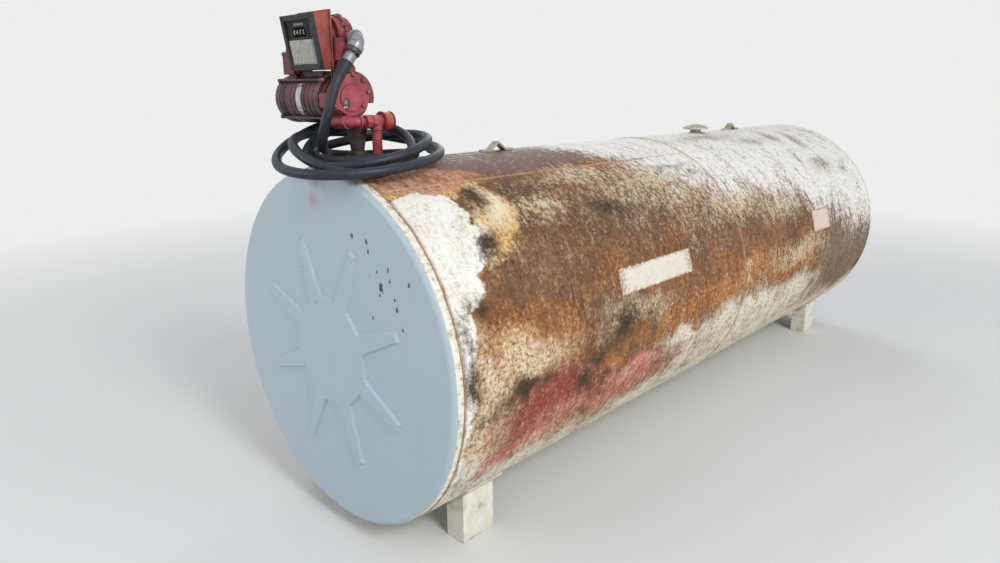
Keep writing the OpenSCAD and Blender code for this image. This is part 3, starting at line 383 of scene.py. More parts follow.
def end_paint(shaded_face_colour):
    """Brushed alkyd enamel on the pressed ends, with old white paint left on the flange.

    A smooth, faintly brush-marked pale blue-grey that is the white enamel as it looks in skylit shade, so
    painted shade, a few chips down to dark metal, and a rusty lap at the flange.
    """
    material, tree, shader, raw = new_material("end_enamel_with_painted_shade")
    axes = add(tree, "SeparateXYZ", {0: raw}, out=None).outputs
    coarse = speckle(tree, raw, 260, 4.0, 0.55)
    fine = speckle(tree, raw, 10, 6.0, 0.7)
    crumb = speckle(tree, raw, 5, 3.0, 0.7)
    brush = speckle(tree, raw, 30, 5.0, 0.6, (1.6, 1, 0.2))
    distance = add(tree, "Math.ABSOLUTE", {0: axes[1]})
    # face: two close blue-greys in brush marks, both the white enamel's tone in skylit shade and so painted
    # shade, chips down to dark metal, and two marks
    face, _ = coat(tree, shaded_face_colour, "#A5B4BD", 0.2, coarse[0], 1.2, 0.4)
    face, _ = coat(tree, face, "#A4B3BB", 0.1, brush[1], 1.6, 0.4)
    up = add(tree, "Math.SUBTRACT", {0: axes[2], 1: AXIS_Z})
    flat = add(tree, "CombineXYZ", {0: axes[0], 1: up, 2: 0.0})
    front = add(tree, "Math.LESS_THAN", {0: axes[1], 1: 0.0})
    chips = [(x / 1000, z / 1000, a / 1000, b / 1000, 0.95) for x, z, a, b in END_CHIPS]
    chip = add(tree, "Math.MULTIPLY", {0: blots(tree, flat, chips), 1: front})
    face, chip_left = coat(tree, face, "#3B3431", chip, crumb[0], 1.8, 0.14)
    for (place, mark_hex), noise in zip(END_MARKS, (fine[1], brush[0])):
        mark = add(tree, "Math.MULTIPLY", {0: blots(tree, flat, (place,), peak=0.75), 1: front})
        face, _ = coat(tree, face, mark_hex, mark, noise, 0.6, 0.3)
    face, speck_left = coat(tree, face, "#6A6862", 0.0, fine[2], 1.5, 0.05)
    # flange: cream-white with rust crumbs, cut in by hand along the bend
    band = add(tree, "ValToRGB", {0: fine[1]}, stops=((0.34, "#9A8468"), (0.45, "#D2C9B4"),
                                                      (0.56, "#E3DFD4")))
    band, _ = coat(tree, band, "#80604A", 0.0, fine[2], 2.6, 0.12)
    cut = TANK_L / 2 - 0.0155
    wave = add(tree, "Math.MULTIPLY_ADD", {0: coarse[2], 1: 0.02, 2: distance})
    wave = add(tree, "Math.MULTIPLY_ADD", {0: fine[0], 1: 0.004, 2: wave})
    on_face = add(tree, "MapRange", {0: wave, 1: cut + 0.011, 2: cut + 0.0125})
    lap = add(tree, "MapRange", {0: distance, 1: TANK_L / 2 - FLANGE_SHOW + 0.009,
                                 2: TANK_L / 2 - FLANGE_SHOW + 0.001, 3: 0.0, 4: 1.0})
    band, _ = coat(tree, band, "#7C573C", lap, fine[0], 1.1, 0.2)
    colour = add(tree, "Mix", {0: on_face, MIX_A: band, MIX_B: face}, data_type="RGBA", out=MIX_OUT)
    dull = add(tree, "MapRange", {0: on_face, 3: 0.7, 4: 0.42})
    missing = most(tree, (chip_left, speck_left))
    relief = add(tree, "Math.SUBTRACT", {0: coarse[2], 1: missing})
    bump = add(tree, "Bump", {"Strength": 0.12, "Distance": 0.0006, "Height": relief})
    wire(tree, shader, {"Base Color": colour, "Roughness": dull, "Normal": bump})
    return material


# The other materials

def cast_enamel(name, coat_hex, chalk_and_sheen_hex, bare_hex, grime=0.5, wear=0.5, gloss=0.45, sandy=2.2):
    """Brushed enamel on a sand casting: it chalks where the sun reaches, with a painted sky sheen on its
    upward faces too, chips along edges and holds grease in hollows that also carry painted shade.

    The eye sees uneven colour, dark hollows that are partly grime and partly painted shade, edges rubbed
    through to primer and a slightly sandy skin.
    """
    material, tree, shader, raw = new_material(name)
    coarse = speckle(tree, raw, 34, 5.0, 0.6)
    fine = speckle(tree, raw, 5, 5.0, 0.65)
    true_normal = add(tree, "NewGeometry", out="Normal")
    up = add(tree, "SeparateXYZ", {0: true_normal}, out=2)
    # paler on upward faces: partly sun chalking, partly a painted sky sheen
    chalk_and_sky_sheen = add(tree, "MapRange", {0: up, 1: -0.6, 2: 1.0, 3: 0.25, 4: 0.8})
    colour, _ = coat(tree, coat_hex, chalk_and_sheen_hex, chalk_and_sky_sheen, coarse[0], 2.6, 0.35)
    # grease and dust in hollows up to 14 mm across, laid by occlusion, so the dark there is partly grime and
    # partly painted shade
    open_air = add(tree, "AmbientOcclusion", {"Distance": 0.014}, samples=4, out="AO")
    hollow = add(tree, "MapRange", {0: open_air, 1: 0.95, 2: 0.35, 3: 0.0, 4: grime})
    colour, hollow_left = coat(tree, colour, "#33291F", hollow, coarse[1], 1.6, 0.4)
    colour, _ = coat(tree, colour, "#3B2A26", 0.0, coarse[2], 2.3, 0.3)
    colour, _ = coat(tree, colour, "#2B211E", 0.14, fine[1], 1.6, 0.1)
    # edges rubbed through
    rounded = add(tree, "Bevel", {"Radius": 0.0018}, samples=4)
    facing = add(tree, "VectorMath.DOT_PRODUCT", {0: rounded, 1: true_normal}, out="Value")
    edge = add(tree, "MapRange", {0: facing, 1: 0.985, 2: 0.86, 3: 0.0, 4: wear})
    colour, chipped = coat(tree, colour, bare_hex, edge, fine[0], 2.6, 0.12)
    dull = add(tree, "MapRange", {0: hollow_left, 3: gloss, 4: 0.8})
    sand = speckle(tree, raw, sandy, 3.0, 0.6)[0]
    relief = add(tree, "Math.SUBTRACT", {0: sand, 1: chipped})
    bump = add(tree, "Bump", {"Strength": 0.3, "Distance": 0.0004, "Height": relief, "Normal": rounded})
    wire(tree, shader, {"Base Color": colour, "Roughness": dull, "Normal": bump})
    return material


def plain_metal(name, light_hex, dark_hex, tarnish_hex, roughness, spangle, metallic, tarnish=0.5):
    """Zinc or aluminium left out in the weather: a soft grey sheen, dull bloom and dirt in the hollows."""
    material, tree, shader, raw = new_material(name)
    crystals = add(tree, "TexVoronoi", {"Vector": raw, "Scale": 1000 / spangle}, out="Color")
    shade = add(tree, "SeparateColor", {0: crystals})
    colour = add(tree, "ValToRGB", {0: shade}, stops=((0.0, dark_hex), (1.0, light_hex)))
    coarse = speckle(tree, raw, 16, 5.0, 0.65)
    open_air = add(tree, "AmbientOcclusion", {"Distance": 0.01}, samples=4, out="AO")
    hollow = add(tree, "MapRange", {0: open_air, 1: 0.95, 2: 0.4, 3: tarnish * 0.6, 4: 0.9})
    colour, hollow_left = coat(tree, colour, tarnish_hex, hollow, coarse[0], 1.8, 0.35)
    rough = add(tree, "MapRange", {0: hollow_left, 3: roughness, 4: 0.8})
    clean = add(tree, "MapRange", {0: hollow_left, 3: metallic, 4: 0.0})
    bump = add(tree, "Bump", {"Strength": 0.2, "Distance": 0.0003, "Height": coarse[1]})
    wire(tree, shader, {"Base Color": colour, "Roughness": rough, "Metallic": clean, "Normal": bump})
    return material


def hose_rubber(colour_cover, diameter):
    """Extruded nitrile fuel hose with the print of its cloth wrap left in the cover.

    Dark slate, satin where hands polish it, with a grey bloom on top that is partly dust and partly a painted
    sky sheen, and pale scuffs.
    """
    material, tree, shader, raw = new_material("nitrile_hose_cover")
    uv = add(tree, "TexCoord", out="UV")
    coarse = speckle(tree, raw, 60, 5.0, 0.6)
    fine = speckle(tree, raw, 7, 5.0, 0.65)
    normal = add(tree, "NewGeometry", out="Normal")
    up = add(tree, "SeparateXYZ", {0: normal}, out=2)
    # the grey on upward faces is partly dust bloom and partly a painted sky sheen
    bloom = add(tree, "MapRange", {0: up, 1: -0.2, 2: 1.0, 3: 0.1, 4: 0.62})
    colour, _ = coat(tree, colour_cover, "#2B323C", bloom, coarse[0], 2.2, 0.6)
    colour, _ = coat(tree, colour, "#4A4F55", 0.0, fine[0], 2.0, 0.3)
    colour, _ = coat(tree, colour, "#14171C", 0.0, coarse[1], 2.6, 0.3)
    rough = add(tree, "MapRange", {0: coarse[2], 1: 0.35, 2: 0.65, 3: 0.38, 4: 0.56})
    # wrap print: ridges 4 mm apart that wind round once in 60 mm
    axes = add(tree, "SeparateXYZ", {0: uv}, out=None).outputs
    wound = add(tree, "Math.MULTIPLY_ADD", {0: axes[1], 1: 1 / 0.06, 2: axes[0]})
    ridge = add(tree, "Math.MULTIPLY", {0: wound, 1: 2 * math.pi * 15})
    ridge = add(tree, "Math.SINE", {0: ridge})
    relief = add(tree, "Math.MULTIPLY_ADD", {0: ridge, 1: 0.25, 2: fine[1]})
    bump = add(tree, "Bump", {"Strength": 0.35, "Distance": diameter / 80, "Height": relief})
    wire(tree, shader, {"Base Color": colour, "Roughness": rough, "IOR": 1.4, "Normal": bump})
    return material


def weathered_vinyl(name, base_hex, pale_hex, stain_hex):
    """Printed vinyl sticker bleached bare by the sun: chalky, hair-cracked, with rust from its edges."""
    material, tree, shader, raw = new_material(name)
    uv = add(tree, "TexCoord", out="UV")
    coarse = speckle(tree, raw, 30, 6.0, 0.7)
    fine = speckle(tree, raw, 6, 6.0, 0.7)
    axes = add(tree, "SeparateXYZ", {0: uv}, out=None).outputs
    from_middle = [add(tree, "Math.SUBTRACT", {0: a, 1: 0.5}) for a in axes[:2]]
    from_middle = [add(tree, "Math.ABSOLUTE", {0: a}) for a in from_middle]
    rim = add(tree, "MapRange", {0: most(tree, from_middle), 1: 0.36, 2: 0.52, 3: 0.12, 4: 0.7})
    colour, _ = coat(tree, base_hex, pale_hex, 0.3, coarse[0], 1.8, 0.5)
    colour, _ = coat(tree, colour, stain_hex, rim, fine[0], 2.4, 0.2)
    cracks = add(tree, "TexVoronoi", {"Vector": raw, "Scale": 1000 / 16}, feature="DISTANCE_TO_EDGE")
    crack = add(tree, "MapRange", {0: cracks, 1: 0.03, 2: 0.0, 3: 0.0, 4: 0.55})
    colour, _ = coat(tree, colour, "#8A7F70", crack, fine[1], 1.2, 0.3)
    bump = add(tree, "Bump", {"Strength": 0.3, "Distance": 0.0003, "Height": coarse[1]})
    wire(tree, shader, {"Base Color": colour, "Roughness": 0.6, "Normal": bump})
    return material


def sight_glass():
    """Thick glass plug gone green with old fuel behind it: dark, glossy, with a soft film of dirt."""
    material, tree, shader, raw = new_material("fuel_stained_glass")
    film = speckle(tree, raw, 8, 4.0, 0.6)
    colour = add(tree, "ValToRGB", {0: film[0]}, stops=((0.35, "#22382F"), (0.5, "#3C5A4B"),
                                                        (0.65, "#6A7F70")))
    rough = add(tree, "MapRange", {0: film[1], 1: 0.4, 2: 0.65, 3: 0.12, 4: 0.45})
    wire(tree, shader, {"Base Color": colour, "Roughness": rough, "IOR": 1.52})
    return material


def casting(name, *colours, **settings):
    """A recipe for an enamel, followed when a piece first needs it."""
    return lambda: cast_enamel(name, *colours, **settings)


# One finish for each material slot of the record
FINISH = {
    "red_casting": casting("dark_red_casting_enamel", "#6C2027", "#8F3A3D", "#42302D", grime=0.85),
    "pink_casting": casting("faded_red_casting_enamel", "#94303F", "#B14C5B", "#4A2F31", grime=0.9),
    "red_pipe": casting("painted_malleable_pipe", "#8F3036", "#AC4E4C", "#4E3329", grime=0.8, wear=0.6),
    "orange_drum": casting("strainer_bowl_enamel", "#AE4430", "#C46045", "#5E3528", grime=0.75),
    "motor_paint": casting("motor_enamel", "#2C1820", "#653743", "#241C1F", grime=0.9, wear=0.4),
    # the dark fitting's near-black is partly oily cast iron and partly the shadow it stood in: painted shade
    "dark_fitting": casting("dark_cast_iron_with_painted_shade", "#322A26", "#564940", "#6A5446", grime=0.6, gloss=0.55),
    "old_fitting": casting("old_white_fitting_paint", "#C6BFB0", "#A89C8C", "#6E5241", grime=0.6, wear=0.7,
                           gloss=0.65),
    "white_leg": casting("white_leg_paint", "#DFDBCF", "#CEC6B4", "#7B5A42", grime=0.5, wear=0.7, gloss=0.6,
                         sandy=5),
    "dark_steel": casting("blackened_swivel_steel", "#2E2D30", "#46444A", "#6C665E", grime=0.6, wear=0.6),
    "bezel_black": casting("black_wrinkle_enamel", "#121416", "#1E2022", "#4C4C49", grime=0.4, wear=0.5,
                           gloss=0.6),
    "bare_plate": lambda: plain_metal("bare_aluminium_plate", "#C9CDD0", "#B4B9BD", "#6D6763", 0.36, 3, 0.9),
    "zinc_elbow": lambda: plain_metal("hot_dip_galvanised_elbow", "#9BA1A3", "#858C8F", "#67635B", 0.45, 6,
                                      0.7),
    "coupling_metal": lambda: plain_metal("aluminium_coupling", "#94999C", "#80868A", "#55514C", 0.42, 3,
                                          0.8),
}


# Castings whose paint isn't that of their slot's others
OWN_FINISH = {
    # the register housing's lighter red is the red casting enamel brightened for the sun on it: painted light
    "register_housing": casting("red_enamel_with_painted_sunlight", "#86342C", "#A04E42", "#42302D", grime=0.8,
                                wear=0.6),
    "switch_box": casting("deep_red_enamel", "#4C1317", "#6E2428", "#33251F", grime=0.8, wear=0.5),
    "meter_body": casting("greasy_crimson_enamel", "#6C222B", "#8F3A42", "#42302D", grime=0.95, wear=0.6),
    "outlet_manifold": casting("burnt_red_enamel", "#5C302B", "#7E443C", "#3A2924", grime=0.95, wear=0.6),
}
OWN_FINISH["meter_cover"] = OWN_FINISH["meter_body"]


def dial_print():
    """Screen-printed dial plate and counter wheels: dull black above, bleached grey card under it."""
    material, tree, shader, raw = new_material("bleached_dial_plate")
    fine = speckle(tree, raw, 6, 5.0, 0.65)
    base = on_top(REGISTER_X, REGISTER_Y, REGISTER_Z)
    off = add(tree, "VectorMath.SUBTRACT", {0: raw, 1: base})
    up_face = add(tree, "VectorMath.DOT_PRODUCT", {0: off, 1: FACE_UP}, out="Value")
    card = add(tree, "Math.LESS_THAN", {0: up_face, 1: (BEZEL_W + 8 + FACE_H * 0.4) / 1000})
    black = add(tree, "ValToRGB", {0: fine[0]}, stops=((0.35, "#131517"), (0.55, "#1D2022"),
                                                       (0.7, "#333535")))
    grey = add(tree, "ValToRGB", {0: fine[1]}, stops=((0.35, "#A2A39C"), (0.52, "#B0B2AC"), (0.7, "#BDBFBA")))
    colour = add(tree, "Mix", {0: card, MIX_A: black, MIX_B: grey}, data_type="RGBA", out=MIX_OUT)
    wire(tree, shader, {"Base Color": colour, "Roughness": 0.6, "IOR": 1.3})
    return material


FINISH["dial_face"] = dial_print


# Making meshes

def piece(name, mesh, material, smooth=True):
    """Links a mesh as a piece that rides on the tank, with its finish's slot."""
    if smooth:
        mesh.shade_smooth()
    obj = bpy.data.objects.new(name, mesh)
    bpy.context.scene.collection.objects.link(obj)
    mesh.materials.clear()
    mesh.materials.append(material)
    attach(obj, "root")
    return obj


def mesh_of(shape, name):
    """A mesh made from a bmesh, with its faces pointing outwards."""
    bmesh.ops.recalc_face_normals(shape, faces=shape.faces)
    mesh = bpy.data.meshes.new(name)
    shape.to_mesh(mesh)
    shape.free()
    return mesh


def smooth_line(points, step):
    """A smooth line through the points, with a point about every step."""
    ends = [2 * points[0] - points[1]] + list(points) + [2 * points[-1] - points[-2]]
    out = []
    for a, b, c, d in zip(ends, ends[1:], ends[2:], ends[3:]):
        cuts = max(1, round((c - b).length / step))
        for k in range(cuts):
            t = k / cuts
            out.append(0.5 * (2 * b + (c - a) * t + (2 * a - 5 * b + 4 * c - d) * t * t
                              + (3 * b - a - 3 * c + d) * t ** 3))
    return out + [points[-1].copy()]


def swept(line, radii, sides):
    """A closed round tube along a line, with a radius at each point and a map of turns and metres."""
    shape = bmesh.new()
    uv = shape.loops.layers.uv.new("along")
    side = Vector((1, 0, 0))
    rings, gone = [], [0.0]
    for i, point in enumerate(line):
        way = (line[min(i + 1, len(line) - 1)] - line[max(i - 1, 0)]).normalized()
        side = (side - side.dot(way) * way).normalized()
        other = way.cross(side)
        rings.append([shape.verts.new(point + radii[i] * (math.cos(2 * math.pi * k / sides) * side
                                                          + math.sin(2 * math.pi * k / sides) * other))
                      for k in range(sides)])
        if i:
            gone.append(gone[-1] + (point - line[i - 1]).length)
    for i in range(len(line) - 1):
        for k in range(sides):
            j = (k + 1) % sides
            face = shape.faces.new((rings[i][k], rings[i][j], rings[i + 1][j], rings[i + 1][k]))
            for loop, (u, v) in zip(face.loops, ((k, i), (k + 1, i), (k + 1, i + 1), (k, i + 1))):
                loop[uv].uv = (u / sides, gone[v])
    for ring, tip in ((rings[0][::-1], line[0]), (rings[-1], line[-1])):
        middle = shape.verts.new(tip)
        for k in range(sides):
            shape.faces.new((ring[k], ring[(k + 1) % sides], middle))
    return mesh_of(shape, "tube")


def turned(profile, base, way, sides=32):
    """A closed turned shape: radius and height pairs in millimetres, spun about a line from base."""
    shape = bmesh.new()
    turn = way.to_track_quat("Z", "Y").to_matrix()
    rings = []
    for r, h in profile:
        if r == 0:
            rings.append([shape.verts.new(base + turn @ Vector((0, 0, h / 1000)))] * sides)
            continue
        rings.append([shape.verts.new(base + turn @ Vector((r / 1000 * math.cos(2 * math.pi * k / sides),
                                                            r / 1000 * math.sin(2 * math.pi * k / sides),
                                                            h / 1000))) for k in range(sides)])
    for low, high in zip(rings, rings[1:]):
        for k in range(sides):
            j = (k + 1) % sides
            corners = list(dict.fromkeys((low[k], low[j], high[j], high[k])))
            shape.faces.new(corners)
    return mesh_of(shape, "turned")


# Geometry Nodes

def group(name, inputs):
    """An empty geometry tree with a geometry input and output, and named inputs with their defaults."""
    tree = bpy.data.node_groups.new(name, "GeometryNodeTree")
    tree.interface.new_socket("Geometry", in_out="INPUT", socket_type="NodeSocketGeometry")
    tree.interface.new_socket("Geometry", in_out="OUTPUT", socket_type="NodeSocketGeometry")
    for label, kind, value in inputs:
        socket = tree.interface.new_socket(label, in_out="INPUT", socket_type=kind)
        if value is not None:
            socket.default_value = value
    return tree, add(tree, "NodeGroupInput", out=None).outputs


def placed(tree, given, shape, turn=None):
    """Ends a tree: the shape at every point, turned to its way and its run, made real and painted."""
    way = add(tree, "GeometryNodeInputNamedAttribute", {"Name": "way"}, data_type="FLOAT_VECTOR")
    run = add(tree, "GeometryNodeInputNamedAttribute", {"Name": "run"}, data_type="FLOAT_VECTOR")
    stood = add(tree, "FunctionNodeAlignRotationToVector", {"Vector": way}, axis="Z")
    laid = add(tree, "FunctionNodeAlignRotationToVector", {"Rotation": stood, "Vector": run}, axis="X",
               pivot_axis="Z")
    copies = add(tree, "GeometryNodeInstanceOnPoints",
                 {"Points": given["Geometry"], "Instance": shape, "Rotation": laid})
    if turn is not None:
        copies = add(tree, "GeometryNodeRotateInstances", {"Instances": copies, "Rotation": turn})
    real = add(tree, "GeometryNodeRealizeInstances", {"Geometry": copies})
    painted = add(tree, "GeometryNodeSetMaterial", {"Geometry": real, "Material": given["Material"]})
    add(tree, "NodeGroupOutput", {0: painted}, out=None)
    return tree


def fastener_tree():
    """Hexagon or round heads on washers, with a stud end where the stud is longer than nothing."""
    tree, given = group("fasteners", (
        ("Width", "NodeSocketFloat", 0.013), ("Height", "NodeSocketFloat", 0.006),
        ("Sides", "NodeSocketInt", 6), ("Crown", "NodeSocketFloat", 0.86),
        ("Washer", "NodeSocketFloat", 0.018), ("Stud", "NodeSocketFloat", 0.0),
        ("Seed", "NodeSocketInt", 3), ("Material", "NodeSocketMaterial", None)))
    radius = add(tree, "Math.MULTIPLY", {0: given["Width"], 1: 0.5})
    head = add(tree, "GeometryNodeMeshCylinder", {"Vertices": given["Sides"], "Side Segments": 2,
                                                  "Radius": radius, "Depth": given["Height"]})
    place = add(tree, "GeometryNodeInputPosition")
    axes = add(tree, "SeparateXYZ", {0: place}, out=None).outputs
    share = add(tree, "Math.DIVIDE", {0: axes[2], 1: given["Height"]})
    on_crown = add(tree, "Math.GREATER_THAN", {0: share, 1: 0.25})
    narrow = add(tree, "Mix", {0: on_crown, 2: 1.0, 3: given["Crown"]}, data_type="FLOAT")
    # bottom at the seat, shoulder at three quarters of the height
    rise = add(tree, "FloatCurve", {1: add(tree, "Math.ADD", {0: share, 1: 0.5})}, out=None)
    points = rise.mapping.curves[0].points
    points.new(0.5, 0.75)
    for point in points:
        point.handle_type = "VECTOR"
    rise.mapping.update()
    lift = add(tree, "Math.MULTIPLY", {0: rise.outputs[0], 1: given["Height"]})
    new_x = add(tree, "Math.MULTIPLY", {0: axes[0], 1: narrow})
    new_y = add(tree, "Math.MULTIPLY", {0: axes[1], 1: narrow})
    moved = add(tree, "CombineXYZ", {0: new_x, 1: new_y, 2: lift})
    head = add(tree, "GeometryNodeSetPosition", {"Geometry": head, "Position": moved})
    head = add(tree, "GeometryNodeTransform", {"Geometry": head, "Translation": (0, 0, 0.0012)})
    wide = add(tree, "Math.MULTIPLY", {0: given["Washer"], 1: 0.5})
    washer = add(tree, "GeometryNodeMeshCylinder", {"Vertices": 20, "Radius": wide, "Depth": 0.0018})
    washer = add(tree, "GeometryNodeTransform", {"Geometry": washer, "Translation": (0, 0, 0.0006)})
    thin = add(tree, "Math.MULTIPLY", {0: given["Width"], 1: 0.28})
    full = add(tree, "Math.ADD", {0: given["Height"], 1: given["Stud"]})
    middle = add(tree, "Math.MULTIPLY", {0: full, 1: 0.5})
    stud = add(tree, "GeometryNodeMeshCylinder", {"Vertices": 12, "Radius": thin, "Depth": full})
    stud = add(tree, "GeometryNodeTransform", {"Geometry": stud,
                                               "Translation": add(tree, "CombineXYZ", {2: middle})})
    joined = add(tree, "GeometryNodeJoinGeometry", out=None)
    for part in (stud, washer, head):
        tree.links.new(part, joined.inputs[0])
    spin = add(tree, "FunctionNodeRandomValue", {"Min": (0, 0, 0), "Max": (0, 0, math.pi),
                                                 "Seed": given["Seed"]}, data_type="FLOAT_VECTOR")
    return placed(tree, given, joined.outputs[0], spin)


def ripple_tree():
    """Overlapping scales of a hand-run weld bead, each as long as the pitch and as wide as the bead."""
    tree, given = group("weld_ripples", (
        ("Width", "NodeSocketFloat", 0.012), ("Height", "NodeSocketFloat", 0.003),
        ("Pitch", "NodeSocketFloat", 0.008), ("Material", "NodeSocketMaterial", None)))
    ball = add(tree, "GeometryNodeMeshIcoSphere", {"Radius": 1.0, "Subdivisions": 2})
    across = add(tree, "Math.MULTIPLY", {0: given["Width"], 1: 0.5})
    size = add(tree, "CombineXYZ", {0: given["Pitch"], 1: across, 2: given["Height"]})
    scale = add(tree, "GeometryNodeTransform", {"Geometry": ball, "Scale": size,
                                                "Rotation": (0, math.radians(-9), 0)})
    return placed(tree, given, scale)


def rib_tree():
    """Cast cooling ribs: a ring of the given size at every point."""
    tree, given = group("cast_ribs", (
        ("Radius", "NodeSocketFloat", 0.0805), ("Thickness", "NodeSocketFloat", 0.0018),
        ("Material", "NodeSocketMaterial", None)))
    hoop = add(tree, "GeometryNodeCurvePrimitiveCircle", {"Resolution": 96, "Radius": given["Radius"]})
    rod = add(tree, "GeometryNodeCurvePrimitiveCircle", {"Resolution": 8, "Radius": given["Thickness"]})
    ring = add(tree, "GeometryNodeCurveToMesh", {"Curve": hoop, "Profile Curve": rod})
    return placed(tree, given, ring)


def spread(name, tree, places, values, smooth):
    """Runs a tree over places, each a point with its up and across directions, and keeps the plain mesh."""
    mesh = bpy.data.meshes.new(name)
    mesh.from_pydata([p for p, _, _ in places], [], [])
    for label, column in (("way", 1), ("run", 2)):
        layer = mesh.attributes.new(label, "FLOAT_VECTOR", "POINT")
        layer.data.foreach_set("vector", [c for place in places for c in place[column]])
    holder = bpy.data.objects.new(name + ".points", mesh)
    bpy.context.scene.collection.objects.link(holder)
    modifier = holder.modifiers.new("spread", "NODES")
    modifier.node_group = tree
    sockets = {item.name: item.identifier for item in tree.interface.items_tree if item.in_out == "INPUT"}
    for label, value in values.items():
        modifier[sockets[label]] = value
    bpy.context.view_layer.update()
    ready = holder.evaluated_get(bpy.context.evaluated_depsgraph_get())
    made = bpy.data.meshes.new_from_object(ready)
    if not made.polygons:
        raise RuntimeError(name + " came out empty")
    bpy.data.objects.remove(holder)
    for label in ("way", "run"):
        if label in made.attributes:
            made.attributes.remove(made.attributes[label])
    made.name = name
    return piece(name, made, values["Material"], smooth)


# What a user would change

class TANK_PG_view(bpy.types.PropertyGroup):
    """Camera and studio"""
    lens: bpy.props.FloatProperty(name="Lens", description="Focal length of the camera", default=25.19,
                                  unit="CAMERA")
    yaw: bpy.props.FloatProperty(name="Yaw",
                                 description="Turn of the camera to the left of the tank's length",
                                 default=math.radians(43.89), subtype="ANGLE")
    pitch: bpy.props.FloatProperty(name="Pitch", description="How far the camera looks down",
                                   default=math.radians(15.35), subtype="ANGLE")
    roll: bpy.props.FloatProperty(name="Roll", description="Roll of the camera", default=math.radians(-0.21),
                                  subtype="ANGLE")
    place: bpy.props.FloatVectorProperty(name="Place", description="Where the camera stands",
                                         default=(2.0015, -3.0777, 1.5594), unit="LENGTH")
    backdrop: bpy.props.FloatVectorProperty(name="Backdrop",
                                            description="Colour of the floor and the surround",
                                            default=linear("#EDEEED"), size=4, subtype="COLOR", min=0, max=1)


class TANK_PG_finish(bpy.types.PropertyGroup):
    """Colours"""
    # the ends' default colour is their white enamel as it looks in skylit shade: painted shade
    ends: bpy.props.FloatVectorProperty(name="Ends", description="Paint on the flat ends", size=4,
                                        default=linear("#AAB8BF"), subtype="COLOR", min=0, max=1)
    cover: bpy.props.FloatVectorProperty(name="Hose", description="Rubber cover of the hose", size=4,
                                         default=linear("#20262F"), subtype="COLOR", min=0, max=1)
    reading: bpy.props.StringProperty(name="Reading",
                                      description="Figures on the meter's counter, one to a wheel",
                                      default="0472", maxlen=4)


class TANK_PG_detail(bpy.types.PropertyGroup):
    """Sizes of small parts"""
    hose_width: bpy.props.FloatProperty(name="Hose diameter", description="Outside diameter of the hose",
                                        default=0.032, unit="LENGTH")
    ripple: bpy.props.FloatProperty(name="Ripple pitch",
                                    description="Distance from one weld ripple to the next", default=0.008,
                                    unit="LENGTH")
    cover_bolt: bpy.props.FloatProperty(name="Pump bolt", description="Width of the pump's bolt heads",
                                        default=0.013, unit="LENGTH")
    flange_bolt: bpy.props.FloatProperty(name="Meter bolt", description="Width of the meter's bolt heads",
                                         default=0.011, unit="LENGTH")
    screw: bpy.props.FloatProperty(name="Screw", description="Width of the small round screw heads",
                                   default=0.008, unit="LENGTH")
    rib: bpy.props.FloatProperty(name="Rib", description="Half thickness of the motor's cast ribs",
                                 default=0.0018, unit="LENGTH")


# Pieces

# The hose's way in millimetres, as in the source of the solids: the drop from the meter, and the run out
HOSE_EXIT = (28, 130.85, 347.12)
HOSE_EXIT_POINT = on_top(*HOSE_EXIT)
HOSE_WAY = Vector((0, -math.sin(HOSE_LEAN), -math.cos(HOSE_LEAN)))
FERRULE_L = 26
HOSE_DROP = ((29, 82, 283), (30, 61, 247), (30, 47, 213), (27, 36, 180), (18, 30, 148), (3, 30, 116),
             (-21, 38, 88), (-52, 55, 67), (-88, 80, 48))
HOSE_TAIL = ((-256, 330, 132), (-234, 405, 110), (-196, 463, 80), (-145, 500, 54), (-95, 514, 36),
             (-50, 515, 27))
# Turns so far, middle of the turn, its radius, and its slopes across and along. A program fitted
# these rows to the loops in the photo.
COIL = ((0, -46, 231, 26, 140, 0.15, -0.18), (1, -48, 226, 28, 182, -0.08, 0.05),
        (2, 46, 180, 73, 207, -0.08, 0.31), (3, 37, 83, 51, 168, -0.45, 0.01),
        (3.5, -89, 252, 8, 225, -0.21, 0.18), (4, 52, 194, 95, 322, -0.06, 0.3))
COIL_FROM, COIL_TO, COIL_STEPS = 0.09, 4.25, 58


def coil_point(turns):
    """A point of the coil, in millimetres: on a circle that leans with its slopes, starting at the front."""
    low = max(row for row in COIL if row[0] <= turns)
    high = min((row for row in COIL if row[0] > turns), default=low)
    share = (turns - low[0]) / (high[0] - low[0]) if high is not low else 0
    x, y, z, r, across, along = (a + (b - a) * share for a, b in zip(low[1:], high[1:]))
    angle = math.radians(-90 - 360 * turns)
    dx, dy = r * math.cos(angle), r * math.sin(angle)
    return x + dx, y + dy, z + across * dx + along * dy


def hose_line():
    """The middle line of the hose, in metres, with a point about every 12 mm."""
    after = tuple(a + (FERRULE_L + 4) * b for a, b in zip(HOSE_EXIT, HOSE_WAY))
    coil = [coil_point(COIL_FROM + (COIL_TO - COIL_FROM) * k / COIL_STEPS) for k in range(COIL_STEPS + 1)]
    route = [HOSE_EXIT, after, *HOSE_DROP, *coil, *HOSE_TAIL]
    return smooth_line([on_top(*p) for p in route], 0.012)


